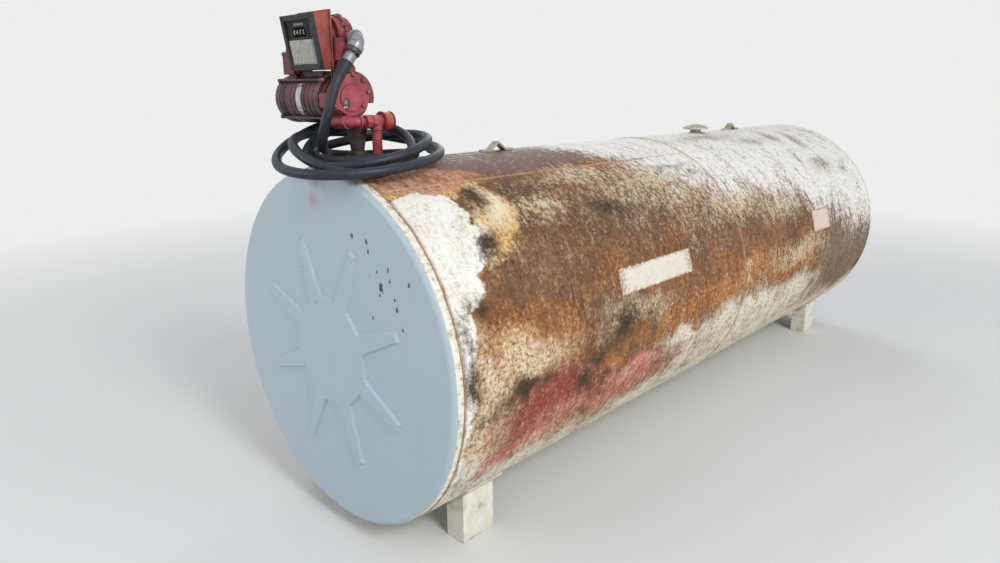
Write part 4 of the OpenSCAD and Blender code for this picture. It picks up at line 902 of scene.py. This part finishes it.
class TANK_OT_studio(bpy.types.Operator):
    """Make the floor, the pale surround, the lamps and the camera"""
    bl_idname = "tank.studio"
    bl_label = "Studio and camera"

    def execute(self, context):
        view = context.scene.tank_view
        scene = context.scene
        scene.view_settings.view_transform = "Standard"
        camera = bpy.data.objects.new("camera", bpy.data.cameras.new("camera"))
        scene.collection.objects.link(camera)
        camera.data.lens = view.lens
        camera.data.clip_end = 200
        forward = Vector((-math.sin(view.yaw) * math.cos(view.pitch),
                          math.cos(view.yaw) * math.cos(view.pitch), -math.sin(view.pitch)))
        level = Vector((math.cos(view.yaw), math.sin(view.yaw), 0))
        above = level.cross(forward)
        right = math.cos(view.roll) * level + math.sin(view.roll) * above
        upward = math.cos(view.roll) * above - math.sin(view.roll) * level
        turn = Matrix((right, upward, -forward)).transposed()
        camera.matrix_world = Matrix.Translation(view.place) @ turn.to_4x4()
        scene.camera = camera
        self.floor(context, view.backdrop)
        self.surround(context, view.backdrop)
        # a large soft key on the photographed side, and weaker fill from the front and back
        for name, place, aim, size, power in (
                ("key", (7.3, -2.7, 5.8), (0, 0, 0.7), 2.6, 415),
                ("side_fill", (6.5, 0.5, 1.2), (0, 0, 0.7), 3.0, 60),
                ("front_fill", (-2.0, -6.8, 3.2), (0, -1.4, 0.8), 4.0, 95),
                ("back_fill", (-4.5, 4.5, 4.5), (0, 0, 0.7), 4.0, 95)):
            lamp = bpy.data.objects.new(name, bpy.data.lights.new(name, "AREA"))
            lamp.data.shape = "DISK"
            lamp.data.size = size
            lamp.data.energy = power
            scene.collection.objects.link(lamp)
            way = Vector(aim) - Vector(place)
            lamp.matrix_world = Matrix.Translation(place) @ way.to_track_quat("-Z", "Y").to_matrix().to_4x4()
        return {"FINISHED"}

    def floor(self, context, backdrop):
        """A wide round floor that keeps the shadow and fades into the surround."""
        shape = bmesh.new()
        bmesh.ops.create_circle(shape, cap_ends=True, segments=96, radius=80)
        floor = bpy.data.objects.new("floor", mesh_of(shape, "floor"))
        context.scene.collection.objects.link(floor)
        material, tree, shader, raw = new_material("studio_floor")
        wire(tree, shader, {"Base Color": "#D9DAD9", "Roughness": 0.95})
        far = add(tree, "VectorMath.LENGTH", {0: raw}, out="Value")
        fade = add(tree, "MapRange", {0: far, 1: 2.6, 2: 7.5}, interpolation_type="SMOOTHSTEP")
        path = add(tree, "LightPath", out=None).outputs
        seen = most(tree, [path[name] for name in ("Is Camera Ray", "Is Glossy Ray", "Is Transmission Ray")])
        share = add(tree, "Math.MULTIPLY", {0: fade, 1: seen})
        pale = add(tree, "Emission", {"Color": backdrop, "Strength": 1.0})
        both = add(tree, "MixShader", {0: share, 1: shader.outputs[0], 2: pale})
        output = next(node for node in tree.nodes if node.type == "OUTPUT_MATERIAL")
        tree.links.new(both, output.inputs["Surface"])
        floor.data.materials.append(material)

    def surround(self, context, backdrop):
        """Even daylight on the tank, and the pale backdrop where the camera or a reflection sees it."""
        world = bpy.data.worlds.new("studio")
        context.scene.world = world
        world.use_nodes = True
        tree = world.node_tree
        tree.nodes.clear()
        path = add(tree, "LightPath", out=None).outputs
        seen = most(tree, [path[name] for name in ("Is Camera Ray", "Is Glossy Ray", "Is Transmission Ray")])
        soft = add(tree, "Background", {"Color": (0.9, 0.95, 1.0, 1), "Strength": 0.6})
        pale = add(tree, "Background", {"Color": backdrop, "Strength": 1.0})
        both = add(tree, "MixShader", {0: seen, 1: soft, 2: pale}, out=None)
        add(tree, "OutputWorld", {0: both.outputs[0]}, out=None)


class TANK_OT_hose(bpy.types.Operator):
    """Lay the fuel hose along its route, with the tapered sleeve at its ferrule"""
    bl_idname = "tank.hose"
    bl_label = "Hose"

    def execute(self, context):
        width = context.scene.tank_detail.hose_width
        rubber = hose_rubber(context.scene.tank_finish.cover, width)
        line = hose_line()
        hose = piece("fuel_hose", swept(line, [width / 2] * len(line), 24), rubber)
        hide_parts("hose")
        # sleeve: starts in the ferrule's mouth and tapers off along the hose
        start = HOSE_EXIT_POINT + HOSE_WAY * (FERRULE_L - 2) / 1000
        near = [p for p in line if 0.034 < (p - HOSE_EXIT_POINT).length < 0.085][:4]
        sleeve_line = smooth_line([start, start + HOSE_WAY * 0.006, *near], 0.003)
        last = len(sleeve_line) - 1
        radii = [width / 2 + 0.0003 + 0.0028 * (1 - k / last) ** 0.8 for k in range(last + 1)]
        sleeve = piece("hose_sleeve", swept(sleeve_line, radii, 24), rubber)
        return {"FINISHED"}


def paint_node(node, material):
    """Gives a solid of the frame this material and no other."""
    NODE[node].data.materials.clear()
    NODE[node].data.materials.append(material)


class TANK_OT_shell(bpy.types.Operator):
    """Give the shell, its welds and the ends their worn coats"""
    bl_idname = "tank.shell"
    bl_label = "Shell and ends"

    def execute(self, context):
        plate = rolled_plate()
        for node in ("front_course", "rear_course"):
            paint_node(node, plate)
        bead = rolled_plate(weld=True)
        for node in ("girth_weld", "seam_welds", "head_welds"):
            paint_node(node, bead)
        ends = end_paint(context.scene.tank_finish.ends)
        for node in ("front_head", "rear_head"):
            paint_node(node, ends)
        return {"FINISHED"}


class TANK_OT_fittings(bpy.types.Operator):
    """Give every other solid the finish of its material slot"""
    bl_idname = "tank.fittings"
    bl_label = "Fittings' finishes"

    def execute(self, context):
        done = {}
        for row in frame["record"]["subparts"]:
            slot, node = row["material_slot"], row["node"]
            if slot in FINISH:
                recipe = OWN_FINISH.get(node, FINISH[slot])
                if recipe not in done:
                    done[recipe] = recipe()
                paint_node(node, done[recipe])
        return {"FINISHED"}


def shell_places(pitch):
    """Ripples of the girth weld, the long seams, the laps at the ends and the top fittings' welds."""
    runs = {"girth_ripples": [], "seam_ripples": [], "lap_ripples": [], "fitting_ripples": []}
    count = round(2 * math.pi * SHELL_R / pitch)
    for k in range(count):
        angle = 2 * math.pi * k / count
        out = Vector((math.cos(angle), 0, math.sin(angle)))
        run = Vector((-math.sin(angle), 0, math.cos(angle)))
        runs["girth_ripples"].append((on_shell(TANK_L / 2, angle, 0.0008), out, run))
        for end, y in ((-1, SHELL_LO[1]), (1, -SHELL_LO[1])):
            spot = Vector((0, y + end * 0.0006, AXIS_Z)) + out * (SHELL_R - 0.0032)
            runs["lap_ripples"].append((spot, (out + Vector((0, end, 0))).normalized(), run))
    for low, high, degrees in ((FLANGE_SHOW + 0.008, TANK_L / 2 - 0.012, FRONT_SEAM),
                               (TANK_L / 2 + 0.012, TANK_L - FLANGE_SHOW - 0.008, REAR_SEAM)):
        angle = math.radians(degrees)
        out = Vector((math.cos(angle), 0, math.sin(angle)))
        steps = round((high - low) / pitch)
        for k in range(steps + 1):
            runs["seam_ripples"].append((on_shell(low + (high - low) * k / steps, angle, 0.0006), out, Y))
    for x, y, r in TOP_WELDS:
        steps = round(2 * math.pi * r / (pitch * 900))
        for k in range(steps):
            turn = 2 * math.pi * k / steps
            px, py = x + r * math.cos(turn), y + r * math.sin(turn)
            drop = math.sqrt((SHELL_R * 1000) ** 2 - px * px) - SHELL_R * 1000
            out = Vector((math.cos(turn), math.sin(turn), 1)).normalized()
            runs["fitting_ripples"].append((on_top(px, py, drop + 1), out,
                                            Vector((-math.sin(turn), math.cos(turn), 0))))
    return runs


class TANK_OT_welds(bpy.types.Operator):
    """Run the hand-welded ripples along the girth, the seams, the laps and the top fittings"""
    bl_idname = "tank.welds"
    bl_label = "Weld ripples"

    def execute(self, context):
        pitch = context.scene.tank_detail.ripple
        tree = ripple_tree()
        bead = bpy.data.materials["rusted_weld_old_paint"]
        sizes = {"girth_ripples": (0.0135, 0.0024), "seam_ripples": (0.0095, 0.0024),
                 "lap_ripples": (0.005, 0.0022), "fitting_ripples": (0.007, 0.0035)}
        for name, places in shell_places(pitch).items():
            width, height = sizes[name]
            spread(name, tree, places, {"Width": width, "Height": height, "Pitch": pitch * 0.8,
                                        "Material": bead}, True)
        return {"FINISHED"}


def on_face(across, up, out):
    """A point on the register's leaning face, in millimetres across, up the face and towards the reader."""
    return (on_top(REGISTER_X + across, REGISTER_Y, REGISTER_Z) + FACE_UP * up / 1000
            + FACE_OUT * (out + 0.3) / 1000)


def bolt_places():
    """Where every bolt and screw sits: its seat, the way it faces and a direction across it."""
    cover, flange, nuts, screws, bezel = [], [], [], [], []
    for k in range(5):
        angle = math.radians(8 + 38 * k)
        y, z = COVER_BOLT_R * math.cos(angle) - 4, COVER_BOLT_R * math.sin(angle) + 14
        cover.append((on_top(0, PUMP_Y + y, PUMP_Z + z), X, Y))
    for y, z in ((-70, -21), (37, -21), (-70, 9)):
        cover.append((on_top(0, PUMP_Y + y, PUMP_Z + z), X, Y))
    for y in (126, 164):
        cover.append((on_top(-16, y, PUMP_Z + 102), Z, X))
    for k in range(10):
        angle = math.radians(36 * k)
        x, z = METER_X + FLANGE_BOLT_R * math.cos(angle), METER_Z - FLANGE_BOLT_R * math.sin(angle)
        if k not in (0, 1):
            flange.append((on_top(x, METER_Y + 26, z), -Y, X))
        if k:
            nuts.append((on_top(x, METER_Y + 38, z), Y, X))
    for k in range(4):
        angle = math.radians(45 + 90 * k)
        y, z = PUMP_Y + TIE_ROD_R * math.sin(angle), PUMP_Z - TIE_ROD_R * math.cos(angle)
        nuts.append((on_top(-81, y, z), X, Y))
        nuts.append((on_top(MOTOR_X + 20, y, z), -X, Y))
    for x, y in ((-29, -34), (29, -34), (-29, 34), (29, 34)):
        screws.append((on_top(SWITCH_X + x, SWITCH_Y + y, SWITCH_TOP), Z, X))
    for across in (-86.5, 86.5):
        for up in (8.5, FACE_H - 8.5):
            bezel.append((on_face(across, up, 12), FACE_OUT, X))
    for x in (-220, -198):
        for degrees in (-33, 33):
            turn = math.radians(degrees)
            out = Vector((0, -math.cos(turn), math.sin(turn)))
            screws.append((on_top(x, PUMP_Y, PUMP_Z) + out * (MOTOR_R + 1.2) / 1000, out, X))
    return cover, flange, nuts, screws, bezel


class TANK_OT_fasteners(bpy.types.Operator):
    """Set the bolts, nuts and screws of the pump, the motor and the meter"""
    bl_idname = "tank.fasteners"
    bl_label = "Bolts and screws"

    def execute(self, context):
        detail = context.scene.tank_detail
        tree = fastener_tree()
        rusty = cast_enamel("rusted_plated_bolt", "#6E5148", "#8C6A5C", "#9A9188", grime=0.9, wear=0.8,
                            gloss=0.5)
        red = bpy.data.materials["faded_red_casting_enamel"]
        black = bpy.data.materials["black_wrinkle_enamel"]
        cover, flange, nuts, screws, bezel = bolt_places()
        bolt = detail.flange_bolt
        for name, places, width, height, sides, crown, stud, material, slot in (
                ("pump_cover_bolts", cover, detail.cover_bolt, 0.0055, 6, 0.86, 0.0, red, "pink_casting"),
                ("meter_flange_bolts", flange, bolt, 0.005, 6, 0.86, 0.0, rusty, "dark_fitting"),
                ("rod_and_flange_nuts", nuts, bolt, 0.0055, 6, 0.88, 0.003, rusty, "dark_fitting"),
                ("small_screws", screws, detail.screw, 0.0026, 14, 0.55, 0.0, rusty, "dark_fitting"),
                ("bezel_screws", bezel, detail.screw, 0.0022, 14, 0.55, 0.0, black, "bezel_black")):
            spread(name, tree, places, {"Width": width * 1.12, "Height": height, "Sides": sides,
                                        "Crown": crown, "Washer": width * 1.35, "Stud": stud, "Seed": 3,
                                        "Material": material}, False)
        return {"FINISHED"}


def slab(outline, low, high, where):
    """A flat closed plate: an outline in millimetres between two heights, placed by a function."""
    shape = bmesh.new()
    rings = [[shape.verts.new(where(x, y, z)) for x, y in outline] for z in (low, high)]
    shape.faces.new(rings[0])
    shape.faces.new(rings[1])
    for k in range(len(outline)):
        j = (k + 1) % len(outline)
        shape.faces.new((rings[0][k], rings[0][j], rings[1][j], rings[1][k]))
    return mesh_of(shape, "slab")


def rounded(low, high, radius, steps=5):
    """Outline of a rectangle with round corners."""
    out = []
    for cx, cy, turn in ((high[0] - radius, high[1] - radius, 0), (low[0] + radius, high[1] - radius, 90),
                         (low[0] + radius, low[1] + radius, 180), (high[0] - radius, low[1] + radius, 270)):
        for k in range(steps + 1):
            angle = math.radians(turn + 90 * k / steps)
            out.append((cx + radius * math.cos(angle), cy + radius * math.sin(angle)))
    return out


def wheel_digit(figure, k):
    """One raised figure bent round its counter wheel."""
    curve = bpy.data.curves.new("figure", "FONT")
    curve.body = figure
    curve.size = 0.018
    curve.extrude = 0.00015
    curve.align_x, curve.align_y = "CENTER", "CENTER"
    text = bpy.data.objects.new("figure", curve)
    bpy.context.scene.collection.objects.link(text)
    bpy.context.view_layer.update()
    mesh = bpy.data.meshes.new_from_object(text.evaluated_get(bpy.context.evaluated_depsgraph_get()))
    bpy.data.objects.remove(text)
    shape = bmesh.new()
    shape.from_mesh(mesh)
    bmesh.ops.remove_doubles(shape, verts=shape.verts, dist=1e-6)
    for cut in range(-7, 8):
        bmesh.ops.bisect_plane(shape, geom=shape.verts[:] + shape.edges[:] + shape.faces[:],
                               plane_co=(0, cut / 1000, 0), plane_no=(0, 1, 0))
    for vert in shape.verts:
        x, y, z = vert.co * 1000
        r, turn = WHEEL_R + z, y / WHEEL_R
        across = WHEEL_PITCH * (k - 1.5) + x
        vert.co = on_face(across, WINDOW_UP + r * math.sin(turn), r * math.cos(turn) - 4)
    return shape


class TANK_OT_register(bpy.types.Operator):
    """Finish the register's face: counter figures, window frame and bare card"""
    bl_idname = "tank.register"
    bl_label = "Register face"

    def execute(self, context):
        ink, tree, shader, raw = new_material("printed_counter_figures")
        colour = add(tree, "ValToRGB", {0: speckle(tree, raw, 2)[0]},
                     stops=((0.35, "#B9AE8C"), (0.6, "#E2DCC6")))
        wire(tree, shader, {"Base Color": colour, "Roughness": 0.6})
        whole = bmesh.new()
        for k, figure in enumerate(context.scene.tank_finish.reading):
            part = wheel_digit(figure, k)
            scratch = bpy.data.meshes.new("figure")
            part.to_mesh(scratch)
            part.free()
            whole.from_mesh(scratch)
        piece("counter_figures", mesh_of(whole, "counter_figures"), ink, smooth=False)
        card = weathered_vinyl("bleached_card", "#B2B5B2", "#BCBFBC", "#97958C")
        plate = slab(rounded((-59.5, 25.5), (59.5, 90), 3), 6.9, 7.6, on_face)
        piece("bare_card", plate, card, smooth=False)
        black = bpy.data.materials["black_wrinkle_enamel"]
        for name, low, high in (("counter_frame_top", (-49, 17), (49, 21)),
                                ("counter_frame_foot", (-49, -21), (49, -17)),
                                ("counter_frame_left", (-49, -16.8), (-44, 16.8)),
                                ("counter_frame_right", (44, -16.8), (49, 16.8))):
            low, high = (low[0], WINDOW_UP + low[1]), (high[0], WINDOW_UP + high[1])
            piece(name, slab(rounded(low, high, 1), 4.5, 7, on_face), black, smooth=False)
        dark, tree, shader, raw = new_material("dull_anodised_strip")
        colour = add(tree, "ValToRGB", {0: speckle(tree, raw, 5)[0]},
                     stops=((0.35, "#4B4E50"), (0.6, "#74787A")))
        wire(tree, shader, {"Base Color": colour, "Roughness": 0.45})
        piece("bare_strip", slab(rounded((-30, FACE_H - 34), (30, FACE_H - 27), 2), 4.6, 5.6, on_face), dark,
              smooth=False)
        return {"FINISHED"}


# Where the castings' rings stand on the motor, in millimetres across; the bare plate lies between them
MOTOR_RIBS = (-305, -262, -238, -175, -150, -122)


class TANK_OT_pump(bpy.types.Operator):
    """Add the sight glass, the motor's ribs and the cable gland"""
    bl_idname = "tank.pump"
    bl_label = "Pump and motor details"

    def execute(self, context):
        sight = on_top(-0.8, PUMP_Y - 30, PUMP_Z - 9)
        glass = ((0, 0), (11.8, 0), (11.8, 2.0), (9.0, 3.3), (4.7, 4.0), (0, 4.2))
        piece("sight_glass", turned(glass, sight, X, 40), sight_glass())
        ring = ((12.0, 0), (12.9, 0), (12.9, 3.0), (12.4, 3.5), (12.0, 3.0), (12.0, 0))
        metal = bpy.data.materials["bare_aluminium_plate"]
        piece("sight_ring", turned(ring, sight, X, 40), metal, smooth=False)

        def on_cover(across, up, out):
            return on_top(out, PUMP_Y + across, PUMP_Z + up)

        strip = slab(rounded((-39, -28.5), (-21, -21.5), 2), -0.8, 0.6, on_cover)
        piece("sight_strip", strip, metal, smooth=False)
        ribs = [(on_top(x, PUMP_Y, PUMP_Z), X, Z) for x in MOTOR_RIBS]
        spread("motor_ribs", rib_tree(), ribs, {"Radius": MOTOR_R / 1000 + 0.0004,
                                                "Thickness": context.scene.tank_detail.rib,
                                                "Material": bpy.data.materials["motor_enamel"]},
               True)
        pad = slab(rounded((-292, PUMP_Y - 30), (-128, PUMP_Y + 30), 9), PUMP_Z + 74, PUMP_Z + 92, on_top)
        piece("motor_pad", pad, bpy.data.materials["motor_enamel"], smooth=False)
        gland = ((0, -1), (10.5, -1), (10.5, 5), (8.5, 6), (8.5, 12), (7, 15), (4, 16.5), (0, 16.5))
        piece("cable_gland", turned(gland, on_top(SWITCH_X - 21, SWITCH_Y - 20, SWITCH_TOP), Z, 24),
              bpy.data.materials["dark_cast_iron_with_painted_shade"], smooth=False)
        return {"FINISHED"}


def shell_sheet(along, degrees, ragged, seed, grid=(64, 18)):
    """A torn sticker bent round the shell: a closed sheet 0.5 mm thick, with a map from 0 to 1."""
    rng = random.Random(seed)
    waves = [(rng.uniform(4, 30), rng.uniform(0, 6.28), rng.uniform(0.3, 1) * ragged / 3) for _ in range(6)]

    def torn(t, side):
        return sum(size * math.sin(rate * t + turn * (side + 1)) for rate, turn, size in waves)

    shape = bmesh.new()
    uv = shape.loops.layers.uv.new("map")
    sheets = []
    for lift in (0.0004, 0.0009):
        rows = []
        for i in range(grid[0] + 1):
            s = i / grid[0]
            row = []
            for j in range(grid[1] + 1):
                t = j / grid[1]
                rim_s, rim_t = abs(2 * s - 1) ** 8, abs(2 * t - 1) ** 4
                y = along[0] + (along[1] - along[0]) * s + torn(7 * t, 2 if s > 0.5 else 3) * rim_s
                angle = math.radians(degrees[0] + (degrees[1] - degrees[0]) * t)
                angle += torn(12 * s, 0 if t > 0.5 else 1) * rim_t / SHELL_R
                curl = 0.0022 * (rim_s * rim_t) + 0.0004 * rim_t * (1 + math.sin(19 * s + seed))
                row.append(shape.verts.new(on_shell(y, angle, lift + curl)))
            rows.append(row)
        sheets.append(rows)
    low, high = sheets

    def face(corners, places):
        made = shape.faces.new(corners)
        for loop, (i, j) in zip(made.loops, places):
            loop[uv].uv = (i / grid[0], j / grid[1])

    for i in range(grid[0]):
        for j in range(grid[1]):
            cell = ((i, j), (i + 1, j), (i + 1, j + 1), (i, j + 1))
            for rows in (low, high):
                face([rows[a][b] for a, b in cell], cell)
    rim = ([(i, 0) for i in range(grid[0])] + [(grid[0], j) for j in range(grid[1])]
           + [(i, grid[1]) for i in range(grid[0], 0, -1)] + [(0, j) for j in range(grid[1], 0, -1)])
    for a, b in zip(rim, rim[1:] + rim[:1]):
        face((low[a[0]][a[1]], low[b[0]][b[1]], high[b[0]][b[1]], high[a[0]][a[1]]), (a, b, b, a))
    return mesh_of(shape, "sheet")


class TANK_OT_labels(bpy.types.Operator):
    """Stick the two weathered, bare labels on the shell"""
    bl_idname = "tank.labels"
    bl_label = "Bare labels"

    def execute(self, context):
        white = weathered_vinyl("bleached_vinyl", "#D2CABB", "#E0DBD0", "#9C7A5C")
        pink = weathered_vinyl("bleached_pink_vinyl", "#CDB6A6", "#DCCFC4", "#A87E68")
        piece("long_label", shell_sheet((0.85, 1.365), (12.7, 21.7), 0.004, 4), white)
        piece("square_label", shell_sheet((2.69, 2.93), (9.9, 20.8), 0.004, 9, (30, 18)), pink)
        return {"FINISHED"}


class TANK_PT_panel(bpy.types.Panel):
    """Lists the pieces in the order in which they are made"""
    bl_label = "Fuel tank"
    bl_idname = "TANK_PT_panel"
    bl_space_type = "VIEW_3D"
    bl_region_type = "UI"
    bl_category = "Fuel tank"

    def draw(self, context):
        scene = context.scene
        for settings in (scene.tank_view, scene.tank_finish, scene.tank_detail):
            box = self.layout.box()
            for name in settings.__annotations__:
                box.prop(settings, name)
        for operator in OPERATORS:
            self.layout.operator(operator.bl_idname)


OPERATORS = (TANK_OT_studio, TANK_OT_hose, TANK_OT_shell, TANK_OT_fittings, TANK_OT_welds, TANK_OT_fasteners,
             TANK_OT_register, TANK_OT_pump, TANK_OT_labels)
CLASSES = (TANK_PG_view, TANK_PG_finish, TANK_PG_detail, *OPERATORS, TANK_PT_panel)


def register():
    for cls in CLASSES:
        bpy.utils.register_class(cls)
    bpy.types.Scene.tank_view = bpy.props.PointerProperty(type=TANK_PG_view)
    bpy.types.Scene.tank_finish = bpy.props.PointerProperty(type=TANK_PG_finish)
    bpy.types.Scene.tank_detail = bpy.props.PointerProperty(type=TANK_PG_detail)


def unregister():
    del bpy.types.Scene.tank_view, bpy.types.Scene.tank_finish, bpy.types.Scene.tank_detail
    for cls in reversed(CLASSES):
        bpy.utils.unregister_class(cls)


def main():
    register()
    bpy.ops.tank.studio()
    bpy.ops.tank.hose()
    bpy.ops.tank.shell()
    bpy.ops.tank.fittings()
    bpy.ops.tank.welds()
    bpy.ops.tank.fasteners()
    bpy.ops.tank.register()
    bpy.ops.tank.pump()
    bpy.ops.tank.labels()
    bpy.context.view_layer.update()


if __name__ == "__main__":
    main()
